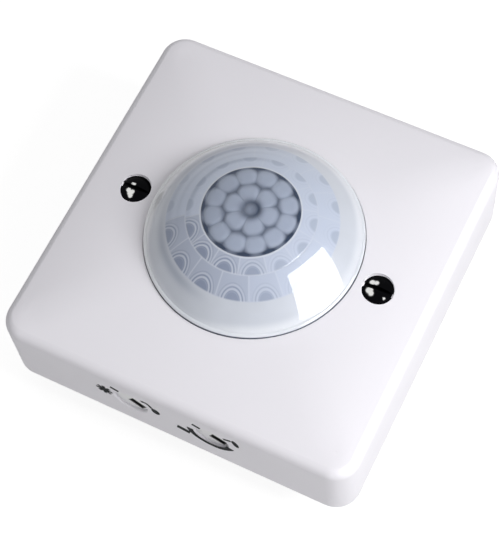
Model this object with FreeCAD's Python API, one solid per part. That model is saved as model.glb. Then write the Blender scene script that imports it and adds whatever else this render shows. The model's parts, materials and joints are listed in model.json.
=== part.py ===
import FreeCAD, Part
import math
import os

# Ceiling presence detector on a square plate. Millimetres, Z up.
# The origin is the centre of the back plane that lies on the ceiling, +Z points out
# through the lens, +X runs along the two fixing screws, and the adjusters face -Y.

V = FreeCAD.Vector
X_AXIS = V(1, 0, 0)
Y_AXIS = V(0, 1, 0)
Z_AXIS = V(0, 0, 1)
OVERRUN = 5.0                 # how far a cutting tool runs past the face that it cuts

# Clearances
slip = 0.15                   # around a piece that drops into its place
running = 0.08                # radial, around a piece that turns
seat_gap = 0.05               # under a screw head that turns
hole_end_room = 0.6           # beyond a screw's tip

# Housing
plate_width = 86.0
corner_radius = 5.8
eave_height = 20.3            # where the crowned face would meet the side wall
eave_slope = math.radians(13.0)
crown_span = 26.0             # from the side wall to where the crowned face runs level
edge_round = 2.8
housing_wall = 2.2
inner_corner_radius = 3.6

# Fixing screws, M3.5
fixing_offset = 5.35          # from the lens rim to a screw's axis, for 60.3 mm centres
fixing_radius = 1.75
fixing_shank_radius = 1.35    # of the plain neck between the thread and the head
fixing_reach = 12.0           # how far the screws stand out behind the back plane
fixing_thread_length = 11.4
fixing_tip_chamfer = 0.5
fixing_head_radius = 3.45
fixing_head_rise = 0.9
fixing_slot_width = 0.9
fixing_slot_depth = 1.0
fixing_recess_radius = 3.7
fixing_recess_depth = 0.7
fixing_bore_radius = 2.1
pillar_radius = 4.4

# Lens
dome_radius = 29.1
lens_shoulder_z = 24.21       # where the dome meets its rounded rim
lens_rim_radius = 24.8
rim_round = 0.7
lens_wall = 1.0
lens_flange_width = 3.0
lens_flange_thickness = 1.2
gasket_thickness = 0.4
gasket_width = 2.4
lens_seat_z = 20.0
seat_rim_width = 3.6
field_edge_radii = (10.95, 14.45, 19.2)   # of the centre disc and the two rings of fields
field_groove = 0.2
lenslet_radius = 1.9
lenslet_depth = 0.45
lenslet_turn = 2.5            # degrees, of the lenslet rings from the +X axis
lenslet_ring_radii = (4.15, 8.35)
lenslet_ring_counts = (6, 12)
centre_lenslet_radius = 1.2

# Retaining ring and hood
ring_thickness = 1.5
ring_lap = 2.8                # inwards from the lens rim
ring_boss_radius = 2.6
ring_lug_margin = 0.6         # of a lug around its boss
ring_lug_angles = (60, 120, 240, 300)
ring_screw_grip = 2.2
hood_wall = 1.0
hood_play = 0.2               # between the hood and the lens wall
hood_flange_width = 2.4
hood_floor_radius = 5.2
hood_floor_width = 1.5
hood_floor_lift = 3.6         # of the hood's floor above the board

# Rear cover and its screws
cover_thickness = 2.0
cover_post_inset = 5.6
cover_post_radius = 3.6
cover_screw_radius = 1.1
cover_screw_head_radius = 2.4
cover_screw_head_height = 1.3
cover_screw_length = 9.0

# Circuit board
board_edge_gap = 1.6
board_thickness = 1.6
board_gap = 3.0               # room for the solder between the rear cover and the board
board_corner = 1.5
board_boss_inset = 4.2
board_boss_y = 12.0
board_boss_radius = 2.6
small_screw_radius = 1.0
small_screw_head_radius = 2.0
small_screw_head_height = 1.3
small_screw_edge = 0.4
small_screw_grip = 4.5
cross_width = 0.5             # of the cross slots in the small screws
cross_depth = 0.5

# Adjusters in the -Y wall
adjuster_spacing = 20.0
adjuster_z = 10.8
knob_hole_radius = 4.0
knob_hole_chamfer = 0.3
knob_recess = 0.65
knob_slot_width = 1.7
knob_slot_length = 3.6
knob_slot_offset = 1.5        # from the knob's axis to the middle of its pointer slot
knob_slot_depth = 1.3
knob_slot_angles = {"light_level": -35.0, "time_delay": -25.0}
knob_flange_radius = 4.6
knob_flange_thickness = 1.0
knob_flange_gap = 0.2
stem_radius = 1.5
stem_flat = 0.9               # from the stem's axis to its flat
stem_length = 4.0
pot_width = 9.5
pot_depth = 5.0
pot_back_wall = 1.0
rotor_radius = 2.6

# Terminal block, four poles
pole_count = 4
pole_pitch = 7.5
terminal_end_wall = 1.0
terminal_y = 18.0
terminal_depth = 12.0
terminal_reach = 9.0          # how far the block stands out behind the back plane
pillar_width = 5.2
pillar_length = 7.0
pillar_height = 6.8
pillar_base_z = -6.2
wire_bore_radius = 1.8
wire_bore_z = -1.8
wire_mouth_radius = 2.2
terminal_screw_radius = 1.5
terminal_screw_head_radius = 2.0
terminal_screw_head_height = 2.0
terminal_slot_width = 0.8
terminal_slot_depth = 0.9
terminal_tip_gap = 0.2        # from a clamp screw's tip to the wire bore
screw_access_radius = 2.3
tail_width = 1.0

# Relay
part_gap = 0.4                # from the tall parts on the board to the screws above them
relay_length = 18.4
relay_width = 10.2
relay_inset = (0.8, 5.8)      # from the board's edges
relay_base_thickness = 1.2
relay_case_wall = 0.8
coil_radius = 2.4
core_radius = 1.2
coil_length = 8.6
yoke_thickness = 0.9
yoke_side_gap = 1.0
armature_gap = 0.45
armature_lift = 0.6           # of the armature's lower edge above the base
contact_width = 2.0
contact_split = 1.0
contact_thickness = 0.5
contact_rise = 1.0            # of the contact blades above the coil's axis
relay_leg_inset = 2.0

# Small electronic parts; insets are from the board's two nearest edges
sensor_flange_radius = 4.65
sensor_flange_height = 0.5
sensor_can_radius = 4.1
sensor_can_height = 3.8
sensor_spacer_height = 0.6
window_width = 4.0
window_length = 3.2
window_thickness = 0.4
led_radius = 1.5
led_height = 6.4
light_sensor_radius = 2.0
light_sensor_height = 5.6
eye_offset = 9.5              # of the lamp and the light sensor from the centre
film_cap_plan = (13.0, 5.5)
film_cap_inset = (18.7, 14.2)
film_cap_leg_inset = 1.5
smoothing_cap_radius = 4.0
smoothing_cap_height = 11.5
smoothing_cap_shoulder = 0.6
smoothing_cap_inset = (8.2, 13.2)
smoothing_cap_legs = 3.5      # between the two legs
varistor_radius = 3.5
varistor_thickness = 3.0
varistor_lift = 1.0
varistor_inset = (18.2, 9.2)
fuse_radius = 1.8
fuse_round = 0.7
fuse_length = 9.0
fuse_inset = (9.2, 21.7)
choke_radius = 3.5
choke_height = 8.0
choke_flange = 0.8
choke_core_radius = 2.2
choke_legs = 4.0              # between the two legs
choke_inset = (9.7, 12.7)
winding_inset = 0.4           # of the winding from the choke's flanges
rectifier_size = (8.0, 6.4, 2.6)
rectifier_inset = (11.2, 2.2)
controller_size = (10.0, 6.0, 1.8)
controller_place = (-5.0, -24.0)
amplifier_size = (8.6, 4.0, 1.6)
amplifier_place = (-12.0, 27.5)
pin_radius = 0.4
pin_length = 1.4

# Worked out from the sizes above
half = plate_width / 2
inner_half = half - housing_wall
crown_radius = crown_span / math.sin(eave_slope)
crown_centre_z = eave_height - crown_radius * math.cos(eave_slope)
crown_top = crown_centre_z + crown_radius
inner_edge_round = edge_round - housing_wall
fixing_x = lens_rim_radius + fixing_offset
post_offset = half - cover_post_inset
board_half = inner_half - board_edge_gap
board_boss_x = board_half - board_boss_inset
board_z = cover_thickness + board_gap
board_top = board_z + board_thickness
dome_centre_z = lens_shoulder_z - math.sqrt(dome_radius ** 2 - (lens_rim_radius - rim_round) ** 2)
lens_bore_radius = lens_rim_radius + slip
lens_inner_radius = lens_rim_radius - lens_wall
hood_mouth_radius = lens_inner_radius - hood_play - hood_flange_width
hood_floor_z = board_top + hood_floor_lift
flange_top = lens_seat_z - gasket_thickness
flange_base = flange_top - lens_flange_thickness
ring_base = flange_base - ring_thickness
part_height = ring_base - small_screw_head_height - part_gap - board_top
seat_radius = lens_rim_radius + seat_rim_width
fixing_face_z = crown_centre_z + math.sqrt(crown_radius ** 2 - (crown_span - half + fixing_x) ** 2)
head_seat_z = fixing_face_z - fixing_recess_depth
terminal_half = pole_count * pole_pitch / 2 + terminal_end_wall
terminal_top = board_z
terminal_y0 = terminal_y - terminal_depth / 2
terminal_y1 = terminal_y + terminal_depth / 2
pole_xs = [(i - (pole_count - 1) / 2) * pole_pitch for i in range(pole_count)]
adjusters = {"light_level": -adjuster_spacing / 2, "time_delay": adjuster_spacing / 2}
post_places = [(x, y) for x in (-post_offset, post_offset) for y in (-post_offset, post_offset)]
boss_places = [(x, y) for x in (-board_boss_x, board_boss_x) for y in (-board_boss_y, board_boss_y)]
fixing_places = [(-fixing_x, 0), (fixing_x, 0)]
flange_radius = lens_rim_radius + lens_flange_width
lug_pitch_radius = flange_radius + slip + ring_boss_radius
lug_angles = [math.radians(a) for a in ring_lug_angles]
lug_places = [(lug_pitch_radius * math.cos(a), lug_pitch_radius * math.sin(a)) for a in lug_angles]
relay_x = -board_half + relay_inset[0]
relay_y = board_half - relay_inset[1] - relay_width


def from_corner(inset, side_x, side_y):
    """The place on the board that lies inset from its edges on the two given sides."""
    return side_x * (board_half - inset[0]), side_y * (board_half - inset[1])


film_cap_place = from_corner(film_cap_inset, 1, 1)
smoothing_cap_place = from_corner(smoothing_cap_inset, 1, -1)
varistor_place = from_corner(varistor_inset, 1, -1)
fuse_place = from_corner(fuse_inset, -1, -1)
choke_place = from_corner(choke_inset, -1, -1)
rectifier_place = from_corner(rectifier_inset, -1, -1)


def box(x0, x1, y0, y1, z0, z1):
    """A block between two corners."""
    return Part.makeBox(x1 - x0, y1 - y0, z1 - z0, V(x0, y0, z0))


def block(place, size, z0):
    """A block of the given size with its low corner at place, standing on z0."""
    return box(place[0], place[0] + size[0], place[1], place[1] + size[1], z0, z0 + size[2])


def rod(radius, z0, z1, x=0.0, y=0.0):
    """A round bar along Z."""
    return Part.makeCylinder(radius, z1 - z0, V(x, y, z0), Z_AXIS)


def rod_y(radius, y0, y1, x, z):
    """A round bar along Y."""
    return Part.makeCylinder(radius, y1 - y0, V(x, y0, z), Y_AXIS)


def rod_x(radius, x0, x1, y, z):
    """A round bar along X."""
    return Part.makeCylinder(radius, x1 - x0, V(x0, y, z), X_AXIS)


def tube(outer, inner, z0, z1):
    """A round ring about the Z axis."""
    return rod(outer, z0, z1).cut(rod(inner, z0 - OVERRUN, z1 + OVERRUN))


def turned(points):
    """A solid of revolution about Z from straight runs between (radius, height) points."""
    wire = Part.makePolygon([V(r, 0, z) for r, z in points + points[:1]])
    return Part.Face(wire).revolve(V(0, 0, 0), Z_AXIS, 360)


def rounded_slab(half_width, radius, z0, z1):
    """A square slab with round corners."""
    slab = box(-half_width, half_width, -half_width, half_width, z0, z1)
    uprights = [e for e in slab.Edges if abs(e.tangentAt(e.FirstParameter).z) > 0.9]
    return slab.makeFillet(radius, uprights)


def at(places, shape):
    """One compound with a copy of the shape at each (x, y) place."""
    copies = []
    for x, y in places:
        copy = shape.copy()
        copy.translate(V(x, y, 0))
        copies.append(copy)
    return Part.makeCompound(copies)


def one_solid(shape):
    """The single solid of a result, with split faces joined again."""
    merged = shape.removeSplitter()
    solids = merged.Solids
    assert len(solids) == 1, len(solids)
    return solids[0]


def crown_edges(reach, z0, inset, rounding):
    """The upright outline from the foot of the side wall, over a rounded eave and the crowned
    face, to the Z axis. The wall stands at x = reach. The outline lies inset inside the housing's
    outside, and the crown's arc turns about the same centre."""
    span = crown_span - inset
    radius = crown_radius - inset
    middle_x = reach - span
    round_x = reach - rounding
    round_z = crown_centre_z + math.sqrt((radius - rounding) ** 2 - (span - rounding) ** 2)
    lean = math.atan2(round_z - crown_centre_z, round_x - middle_x)
    half_lean = lean / 2
    low = V(reach, 0, z0)
    start = V(reach, 0, round_z)
    bend = V(round_x + rounding * math.cos(half_lean), 0, round_z + rounding * math.sin(half_lean))
    end = V(round_x + rounding * math.cos(lean), 0, round_z + rounding * math.sin(lean))
    stop = math.pi / 2 if middle_x > 0 else math.acos(-middle_x / radius)
    way = (lean + stop) / 2
    on_crown = V(middle_x + radius * math.cos(way), 0, crown_centre_z + radius * math.sin(way))
    peak = V(middle_x + radius * math.cos(stop), 0, crown_centre_z + radius * math.sin(stop))
    edges = [
        Part.makeLine(low, start), Part.Arc(start, bend, end).toShape(),
        Part.Arc(end, on_crown, peak).toShape(),
    ]
    if middle_x > 0:
        edges.append(Part.makeLine(peak, V(0, 0, peak.z)))
    return edges


def crowned_block(half_width, radius, z0, inset, rounding):
    """A square block under a low crowned face on four sides, its eaves and corners rounded."""
    right = crown_edges(half_width, z0, inset, rounding)
    left = [e.mirror(V(0, 0, 0), X_AXIS) for e in right]
    floor = Part.makeLine(V(-half_width, 0, z0), V(half_width, 0, z0))
    section = Part.Face(Part.Wire(Part.__sortEdges__(right + left + [floor])))
    section.translate(V(0, -half_width, 0))
    along = section.extrude(V(0, 2 * half_width, 0))
    across = along.copy()
    across.rotate(V(0, 0, 0), Z_AXIS, 90)
    spoke = crown_edges(radius, z0, inset, rounding)
    peak = V(0, 0, spoke[2].lastVertex(True).Point.z)
    spoke += [Part.makeLine(peak, V(0, 0, z0)), Part.makeLine(V(0, 0, z0), V(radius, 0, z0))]
    button = Part.Face(Part.Wire(Part.__sortEdges__(spoke))).revolve(V(0, 0, 0), Z_AXIS, 360)
    corner = half_width - radius
    places = [(x, y) for x in (-corner, corner) for y in (-corner, corner)]
    reach = radius + OVERRUN
    squares = [
        block((min(x, x + math.copysign(reach, x)), min(y, y + math.copysign(reach, y))),
              (reach, reach, crown_top - z0 + OVERRUN), z0 - OVERRUN / 2)
        for x, y in places
    ]
    return along.common(across).cut(squares).multiFuse(at(places, button).Solids)


def front_housing():
    """The moulded front: walls, crowned face, lens seat, screw pillars, posts and bosses."""
    outside = crowned_block(half, corner_radius, 0.0, 0.0, edge_round)
    cavity = crowned_block(inner_half, inner_corner_radius, -OVERRUN, housing_wall, inner_edge_round)
    top = crown_top
    pillars = at(fixing_places, rod(pillar_radius, 0.0, top))
    inner_parts = [
        at(post_places, rod(cover_post_radius, cover_thickness, top)),
        at(boss_places, rod(board_boss_radius, board_top, top)),
        at(lug_places, rod(ring_boss_radius, flange_base, top)),
        rod(seat_radius, lens_seat_z, top),
    ]
    bosses = pillars.Solids[0].multiFuse([pillars.Solids[1]] + [s for p in inner_parts for s in p.Solids])
    body = outside.cut(cavity).fuse(bosses.common(outside))
    screw_seat = turned([
        (0, -OVERRUN), (fixing_bore_radius, -OVERRUN),
        (fixing_bore_radius, head_seat_z - (fixing_head_radius - fixing_bore_radius)),
        (fixing_head_radius, head_seat_z), (fixing_recess_radius, head_seat_z),
        (fixing_recess_radius, top), (0, top),
    ])
    grip = small_screw_radius + seat_gap
    tools = [
        rod(flange_radius + slip, 0.0, lens_seat_z).cut(pillars),
        at(fixing_places, screw_seat),
        rod(lens_bore_radius, 0.0, top + OVERRUN),
        at(post_places, rod(cover_screw_radius + seat_gap, 0.0, cover_screw_length + hole_end_room)),
        at(boss_places, rod(grip, board_z, board_top + small_screw_grip + hole_end_room)),
        at(lug_places, rod(grip, ring_base, flange_base + ring_screw_grip + hole_end_room)),
    ]
    for x in adjusters.values():
        tools.append(rod_y(knob_hole_radius, -half - OVERRUN, -inner_half + OVERRUN / 2, x, adjuster_z))
        tools.append(Part.makeCone(
            knob_hole_radius + 2 * knob_hole_chamfer, knob_hole_radius, 2 * knob_hole_chamfer,
            V(x, -half - knob_hole_chamfer, adjuster_z), Y_AXIS,
        ))
    return one_solid(body.cut(tools))


def rear_cover():
    """The flat back plate with its screw holes and the window for the terminal block."""
    plate = rounded_slab(inner_half - slip, inner_corner_radius, 0.0, cover_thickness)
    window = box(
        -terminal_half - slip, terminal_half + slip, terminal_y0 - slip, terminal_y1 + slip,
        -OVERRUN, cover_thickness + OVERRUN,
    )
    head = cover_screw_head_radius + slip
    shank = cover_screw_radius + slip
    sink = turned([
        (0, -OVERRUN), (head, -OVERRUN), (head, 0),
        (shank, cover_screw_head_height), (shank, OVERRUN), (0, OVERRUN),
    ])
    pillars = at(fixing_places, rod(pillar_radius + slip, -OVERRUN, OVERRUN))
    return one_solid(plate.cut([window, at(post_places, sink), pillars]))


def pillar_notches():
    """The room that rings under the face leave around the two screw pillars."""
    return at(fixing_places, rod(pillar_radius + 2 * slip, 0.0, lens_seat_z))


def dome_point(radius, distance):
    """The point of a dome's section at that distance from the lens axis."""
    return V(distance, 0, dome_centre_z + math.sqrt(radius ** 2 - distance ** 2))


def dome_arc(radius, edge):
    """The section of a dome from its top out to the start of its rounded edge."""
    middle = radius * math.sin(math.asin(edge / radius) / 2)
    points = [dome_point(radius, r) for r in (0, middle, edge)]
    return Part.Arc(*points).toShape()


def lens():
    """The milky dome with its rim, clamping flange, grooves round its fields, and inner lenslets."""
    inner_dome = dome_radius - lens_wall
    shoulder = dome_point(dome_radius, lens_rim_radius - rim_round)
    inner_shoulder = dome_point(inner_dome, lens_inner_radius - rim_round)
    bead_end = V(lens_rim_radius, 0, shoulder.z - rim_round)
    half_turn = rim_round * math.sqrt(0.5)
    bead_middle = V(shoulder.x + half_turn, 0, bead_end.z + half_turn)
    sides = Part.makePolygon([
        bead_end, V(lens_rim_radius, 0, flange_top),
        V(flange_radius, 0, flange_top), V(flange_radius, 0, flange_base),
        V(lens_inner_radius, 0, flange_base), V(lens_inner_radius, 0, inner_shoulder.z - rim_round),
        inner_shoulder,
    ])
    section = sides.Edges + [
        dome_arc(dome_radius, shoulder.x),
        Part.Arc(shoulder, bead_middle, bead_end).toShape(),
        dome_arc(inner_dome, inner_shoulder.x),
        Part.makeLine(dome_point(inner_dome, 0), dome_point(dome_radius, 0)),
    ]
    body = Part.Face(Part.Wire(Part.__sortEdges__(section))).revolve(V(0, 0, 0), Z_AXIS, 360)
    grooves = [
        Part.makeTorus(r, field_groove, V(0, 0, dome_point(dome_radius, r).z)) for r in field_edge_radii
    ]
    return one_solid(body.cut(grooves + [pillar_notches()]).fuse(lenslets()))


def lenslets():
    """Shallow caps on the inside of the dome, inside its centre disc."""
    inner_radius = dome_radius - lens_wall
    caps = [cap(0.0, 0.0, centre_lenslet_radius, inner_radius)]
    for ring_radius, count in zip(lenslet_ring_radii, lenslet_ring_counts):
        for i in range(count):
            angle = 2 * math.pi * i / count + math.radians(lenslet_turn)
            caps.append(cap(ring_radius, angle, lenslet_radius, inner_radius))
    return caps


def cap(distance, angle, radius, inner_radius):
    """One lenslet: a low ball segment standing inwards from the dome's inner wall."""
    wall_z = dome_point(inner_radius, distance).z
    foot = V(distance * math.cos(angle), distance * math.sin(angle), wall_z)
    outwards = V(foot.x, foot.y, wall_z - dome_centre_z).normalize()
    ball_radius = (radius ** 2 + lenslet_depth ** 2) / (2 * lenslet_depth)
    ball = Part.makeSphere(ball_radius, foot + outwards * (ball_radius - lenslet_depth))
    root = lens_wall / 2
    keep = Part.makeCylinder(radius + root, lens_wall + lenslet_depth, foot + outwards * root, -outwards)
    return ball.common(keep)


def lens_gasket():
    """The flat foam ring between the lens flange and its seat."""
    inner = lens_rim_radius + 2 * slip
    return one_solid(tube(inner + gasket_width, inner, flange_top, lens_seat_z).cut(pillar_notches()))


def lens_retaining_ring():
    """The ring with screw lugs that holds the lens flange up against its seat."""
    ring = rod(flange_radius, ring_base, flange_base)
    lug = rod(ring_boss_radius + ring_lug_margin, ring_base, flange_base)
    ring = ring.multiFuse(at(lug_places, lug).Solids)
    holes = at(lug_places, rod(small_screw_radius + slip, ring_base - OVERRUN, flange_base + OVERRUN))
    middle = rod(lens_rim_radius - ring_lap, ring_base - OVERRUN, flange_base + OVERRUN)
    return one_solid(ring.cut([holes, middle, pillar_notches()]))


def sensor_hood():
    """The cone under the dome that hides the board and frames the sensor."""
    floor_edge = hood_floor_radius + hood_floor_width
    flange_edge = hood_mouth_radius + hood_flange_width
    body = turned([
        (hood_floor_radius, hood_floor_z), (floor_edge, hood_floor_z),
        (hood_mouth_radius, flange_base), (flange_edge, flange_base),
        (flange_edge, flange_base + hood_wall), (hood_mouth_radius - hood_wall, flange_base + hood_wall),
        (floor_edge, hood_floor_z + hood_wall), (hood_floor_radius, hood_floor_z + hood_wall),
    ])
    eyes = [
        rod(led_radius + slip, board_top, lens_seat_z, eye_offset, 0),
        rod(light_sensor_radius + slip, board_top, lens_seat_z, -eye_offset, 0),
    ]
    return one_solid(body.cut(eyes))


def main_board():
    """The square circuit board, notched around the corner posts and screw pillars."""
    slab = rounded_slab(board_half, board_corner, board_z, board_top)
    low = board_z - OVERRUN
    high = board_top + OVERRUN
    tools = [
        at(post_places, rod(cover_post_radius + 2 * slip, low, high)),
        at(fixing_places, rod(pillar_radius + 2 * slip, low, high)),
        at(boss_places, rod(small_screw_radius + slip, low, high)),
    ]
    return one_solid(slab.cut(tools))


def cross_slot(z_head):
    """The cross slot of a small screw whose head starts at z_head."""
    slot = box(
        -cover_screw_head_radius, cover_screw_head_radius, -cross_width / 2, cross_width / 2,
        z_head - OVERRUN, z_head + cross_depth,
    )
    cross = slot.copy()
    cross.rotate(V(0, 0, 0), Z_AXIS, 90)
    return [slot, cross]


def tapping_screw(z_seat, z_tip):
    """A small pan-head screw standing upwards, with a cross slot in its head."""
    z_head = z_seat - small_screw_head_height
    head = rod(small_screw_head_radius, z_head, z_seat)
    edge = [e for e in head.Edges if e.BoundBox.ZMax < z_seat - small_screw_edge]
    head = head.makeChamfer(small_screw_edge, edge)
    return head.fuse(rod(small_screw_radius, z_seat, z_tip)).cut(cross_slot(z_head))


def cover_screws():
    """Four countersunk screws through the rear cover into the corner posts."""
    body = turned([
        (0, 0), (cover_screw_head_radius, 0), (cover_screw_radius, cover_screw_head_height),
        (cover_screw_radius, cover_screw_length), (0, cover_screw_length),
    ])
    return at(post_places, body.cut(cross_slot(0.0)))


def board_screws():
    """Four screws that hold the board up against its bosses."""
    return at(boss_places, tapping_screw(board_z, board_top + small_screw_grip))


def ring_screws():
    """Four screws through the lugs of the retaining ring."""
    return at(lug_places, tapping_screw(ring_base, flange_base + ring_screw_grip))


def fixing_screw(x):
    """One M3.5 raised countersunk machine screw with a plain slot."""
    seat = head_seat_z
    top = seat + fixing_head_rise
    rim = V(fixing_head_radius - seat_gap, 0, seat)
    crown = V(0, 0, top)
    cap_radius = (rim.x ** 2 + fixing_head_rise ** 2) / (2 * fixing_head_rise)
    shoulder_drop = cap_radius - math.sqrt(cap_radius ** 2 - (rim.x / 2) ** 2)
    arc = Part.Arc(rim, V(rim.x / 2, 0, top - shoulder_drop), crown).toShape()
    thread_end = -fixing_reach + fixing_thread_length
    run = Part.makePolygon([
        crown, V(0, 0, -fixing_reach), V(fixing_radius - fixing_tip_chamfer, 0, -fixing_reach),
        V(fixing_radius, 0, -fixing_reach + fixing_tip_chamfer), V(fixing_radius, 0, thread_end),
        V(fixing_shank_radius, 0, thread_end),
        V(fixing_shank_radius, 0, seat - (rim.x - fixing_shank_radius)), rim,
    ])
    section = Part.Face(Part.Wire(Part.__sortEdges__([arc] + run.Edges)))
    body = section.revolve(V(0, 0, 0), Z_AXIS, 360)
    slot = box(
        -OVERRUN, OVERRUN, -fixing_slot_width / 2, fixing_slot_width / 2,
        top - fixing_slot_depth, top + OVERRUN,
    )
    screw = body.cut(slot)
    screw.translate(V(x, 0, 0))
    return one_solid(screw)


def adjuster_knob(name, x):
    """A slotted trim knob that turns in its hole, with a flange behind the wall and a stem."""
    face_y = -half + knob_recess
    flange_y = -inner_half + knob_flange_gap
    flange_back = flange_y + knob_flange_thickness
    knob = rod_y(knob_hole_radius - running, face_y, flange_y, x, adjuster_z)
    knob = knob.fuse(rod_y(knob_flange_radius, flange_y, flange_back, x, adjuster_z))
    stem = rod_y(stem_radius, flange_back, flange_back + stem_length, x, adjuster_z)
    flat = box(
        x + stem_flat, x + stem_flat + stem_radius, flange_back, flange_back + stem_length + OVERRUN,
        adjuster_z - stem_radius, adjuster_z + stem_radius,
    )
    slot_x = x + knob_slot_offset
    slot = box(
        slot_x - knob_slot_length / 2, slot_x + knob_slot_length / 2,
        face_y - OVERRUN, face_y + knob_slot_depth,
        adjuster_z - knob_slot_width / 2, adjuster_z + knob_slot_width / 2,
    )
    slot.rotate(V(x, 0, adjuster_z), V(0, -1, 0), knob_slot_angles[name])
    return one_solid(knob.fuse(stem.cut(flat)).cut(slot))


def pot_front_y():
    """The front face of a potentiometer body, just behind the knob's flange."""
    return -inner_half + 2 * knob_flange_gap + knob_flange_thickness


def pot_body(x):
    """A potentiometer case that stands on the board."""
    y0 = pot_front_y()
    top = 2 * adjuster_z - board_top
    case = box(x - pot_width / 2, x + pot_width / 2, y0, y0 + pot_depth, board_top, top)
    return case.cut(rod_y(rotor_radius, y0 - OVERRUN, y0 + pot_depth - pot_back_wall, x, adjuster_z))


def pot_rotor(x):
    """The potentiometer's wiper drum, which the knob's stem drives."""
    y0 = pot_front_y()
    drum_back = y0 + pot_depth - pot_back_wall - knob_flange_gap
    drum = rod_y(rotor_radius - running, y0, drum_back, x, adjuster_z)
    stem_end = y0 - knob_flange_gap + stem_length
    return drum.cut(rod_y(stem_radius + seat_gap, y0 - OVERRUN, stem_end + seat_gap, x, adjuster_z))


def terminal_housing():
    """The moulded terminal block: a pocket, a wire entry and a screw hole for each pole."""
    body = box(-terminal_half, terminal_half, terminal_y0, terminal_y1, -terminal_reach, terminal_top)
    tools = []
    for x in pole_xs:
        tools.append(box(
            x - pillar_width / 2 - slip, x + pillar_width / 2 + slip,
            terminal_y - pillar_length / 2 - slip, terminal_y + pillar_length / 2 + slip,
            pillar_base_z, terminal_top + OVERRUN,
        ))
        tools.append(rod_y(wire_mouth_radius, terminal_y, terminal_y1 + OVERRUN, x, wire_bore_z))
        tools.append(rod(screw_access_radius, -terminal_reach - OVERRUN, terminal_top, x, terminal_y))
    return one_solid(body.cut(tools))


def terminal_pillars():
    """Brass pillars with a wire bore, a screw hole and a tail up through the board."""
    pillars = []
    for x in pole_xs:
        body = box(
            x - pillar_width / 2, x + pillar_width / 2,
            terminal_y - pillar_length / 2, terminal_y + pillar_length / 2,
            pillar_base_z, pillar_base_z + pillar_height,
        )
        bore = rod_y(wire_bore_radius, terminal_y - pillar_length, terminal_y + pillar_length, x, wire_bore_z)
        hole = rod(terminal_screw_radius + seat_gap, pillar_base_z - OVERRUN, wire_bore_z, x, terminal_y)
        tail = box(
            x - tail_width / 2, x + tail_width / 2, terminal_y - tail_width / 2, terminal_y + tail_width / 2,
            pillar_base_z + pillar_height, terminal_top,
        )
        pillars.append(one_solid(body.fuse(tail).cut([bore, hole])))
    return Part.makeCompound(pillars)


def terminal_screw(x):
    """One clamp screw, slotted, standing up into its pillar."""
    seat = pillar_base_z - seat_gap
    head_end = seat - terminal_screw_head_height
    tip = wire_bore_z - wire_bore_radius - terminal_tip_gap
    head = rod(terminal_screw_head_radius, head_end, seat, x, terminal_y)
    shank = rod(terminal_screw_radius, seat, tip, x, terminal_y)
    slot = box(
        x - OVERRUN, x + OVERRUN, terminal_y - terminal_slot_width / 2, terminal_y + terminal_slot_width / 2,
        head_end - OVERRUN, head_end + terminal_slot_depth,
    )
    return one_solid(head.fuse(shank).cut(slot))


def relay_parts():
    """The relay's base, case, coil, yoke, armature and contacts, from its corner outwards."""
    x0 = relay_x
    x1 = relay_x + relay_length
    y0 = relay_y
    y1 = relay_y + relay_width
    mid = (y0 + y1) / 2
    base_top = board_top + relay_base_thickness
    top = board_top + part_height
    wall = relay_case_wall
    case = box(x0, x1, y0, y1, base_top, top)
    case = case.cut(box(x0 + wall, x1 - wall, y0 + wall, y1 - wall, base_top - OVERRUN, top - wall))
    yoke_x = x0 + wall + slip
    coil_x = yoke_x + yoke_thickness
    coil_z = base_top + contact_thickness + coil_radius
    limb_z = coil_z + coil_radius + slip
    pole_x = coil_x + coil_length + slip
    armature_x = pole_x + armature_gap
    limb_end = armature_x - slip
    half_width = relay_width / 2 - wall - yoke_side_gap
    low_y = mid - half_width
    high_y = mid + half_width
    limb_top = limb_z + yoke_thickness
    yoke = box(yoke_x, coil_x, low_y, high_y, base_top, limb_top)
    yoke = yoke.fuse(box(coil_x, limb_end, low_y, high_y, limb_z, limb_top))
    core = rod_x(core_radius, coil_x, pole_x, mid, coil_z)
    coil = rod_x(coil_radius, coil_x, coil_x + coil_length, mid, coil_z).fuse(core)
    armature = box(
        armature_x, armature_x + yoke_thickness, low_y, high_y, base_top + armature_lift, limb_top,
    )
    blade_x = armature_x + yoke_thickness + contact_thickness
    blades = Part.makeCompound([
        box(blade_x, blade_x + contact_thickness, y, y + contact_width, base_top, coil_z + contact_rise)
        for y in (mid - contact_split / 2 - contact_width, mid + contact_split / 2)
    ])
    return {
        "relay_base": box(x0, x1, y0, y1, board_top, base_top),
        "relay_case": case,
        "relay_yoke": one_solid(yoke),
        "relay_coil": one_solid(coil),
        "relay_armature": armature,
        "relay_contacts": blades,
    }


def sensor_parts():
    """The infrared sensor on its spacer, with the filter window let into its can."""
    base = board_top + sensor_spacer_height
    rim = base + sensor_flange_height
    top = base + sensor_can_height
    can = rod(sensor_flange_radius, base, rim).fuse(rod(sensor_can_radius, rim, top))
    recess = box(
        -window_width / 2, window_width / 2, -window_length / 2, window_length / 2,
        top - window_thickness, top,
    )
    return {
        "pir_sensor_spacer": rod(sensor_flange_radius, board_top, base),
        "pir_sensor_can": one_solid(can.cut(recess)),
        "pir_sensor_window": recess,
    }


def round_top(radius, height, x):
    """A small upright lamp body with a ball end."""
    straight = rod(radius, board_top, board_top + height - radius, x, 0)
    return straight.fuse(Part.makeSphere(radius, V(x, 0, board_top + height - radius)))


def light_sensor():
    """The round light-dependent resistor that looks out beside the infrared sensor."""
    return rod(light_sensor_radius, board_top, board_top + light_sensor_height, -eye_offset, 0)


def smoothing_capacitor():
    """The upright can capacitor with a rounded shoulder."""
    x, y = smoothing_cap_place
    can = rod(smoothing_cap_radius, board_top, board_top + smoothing_cap_height, x, y)
    top_edges = [e for e in can.Edges if e.BoundBox.ZMin > board_top + smoothing_cap_shoulder]
    return can.makeFillet(smoothing_cap_shoulder, top_edges)


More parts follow.
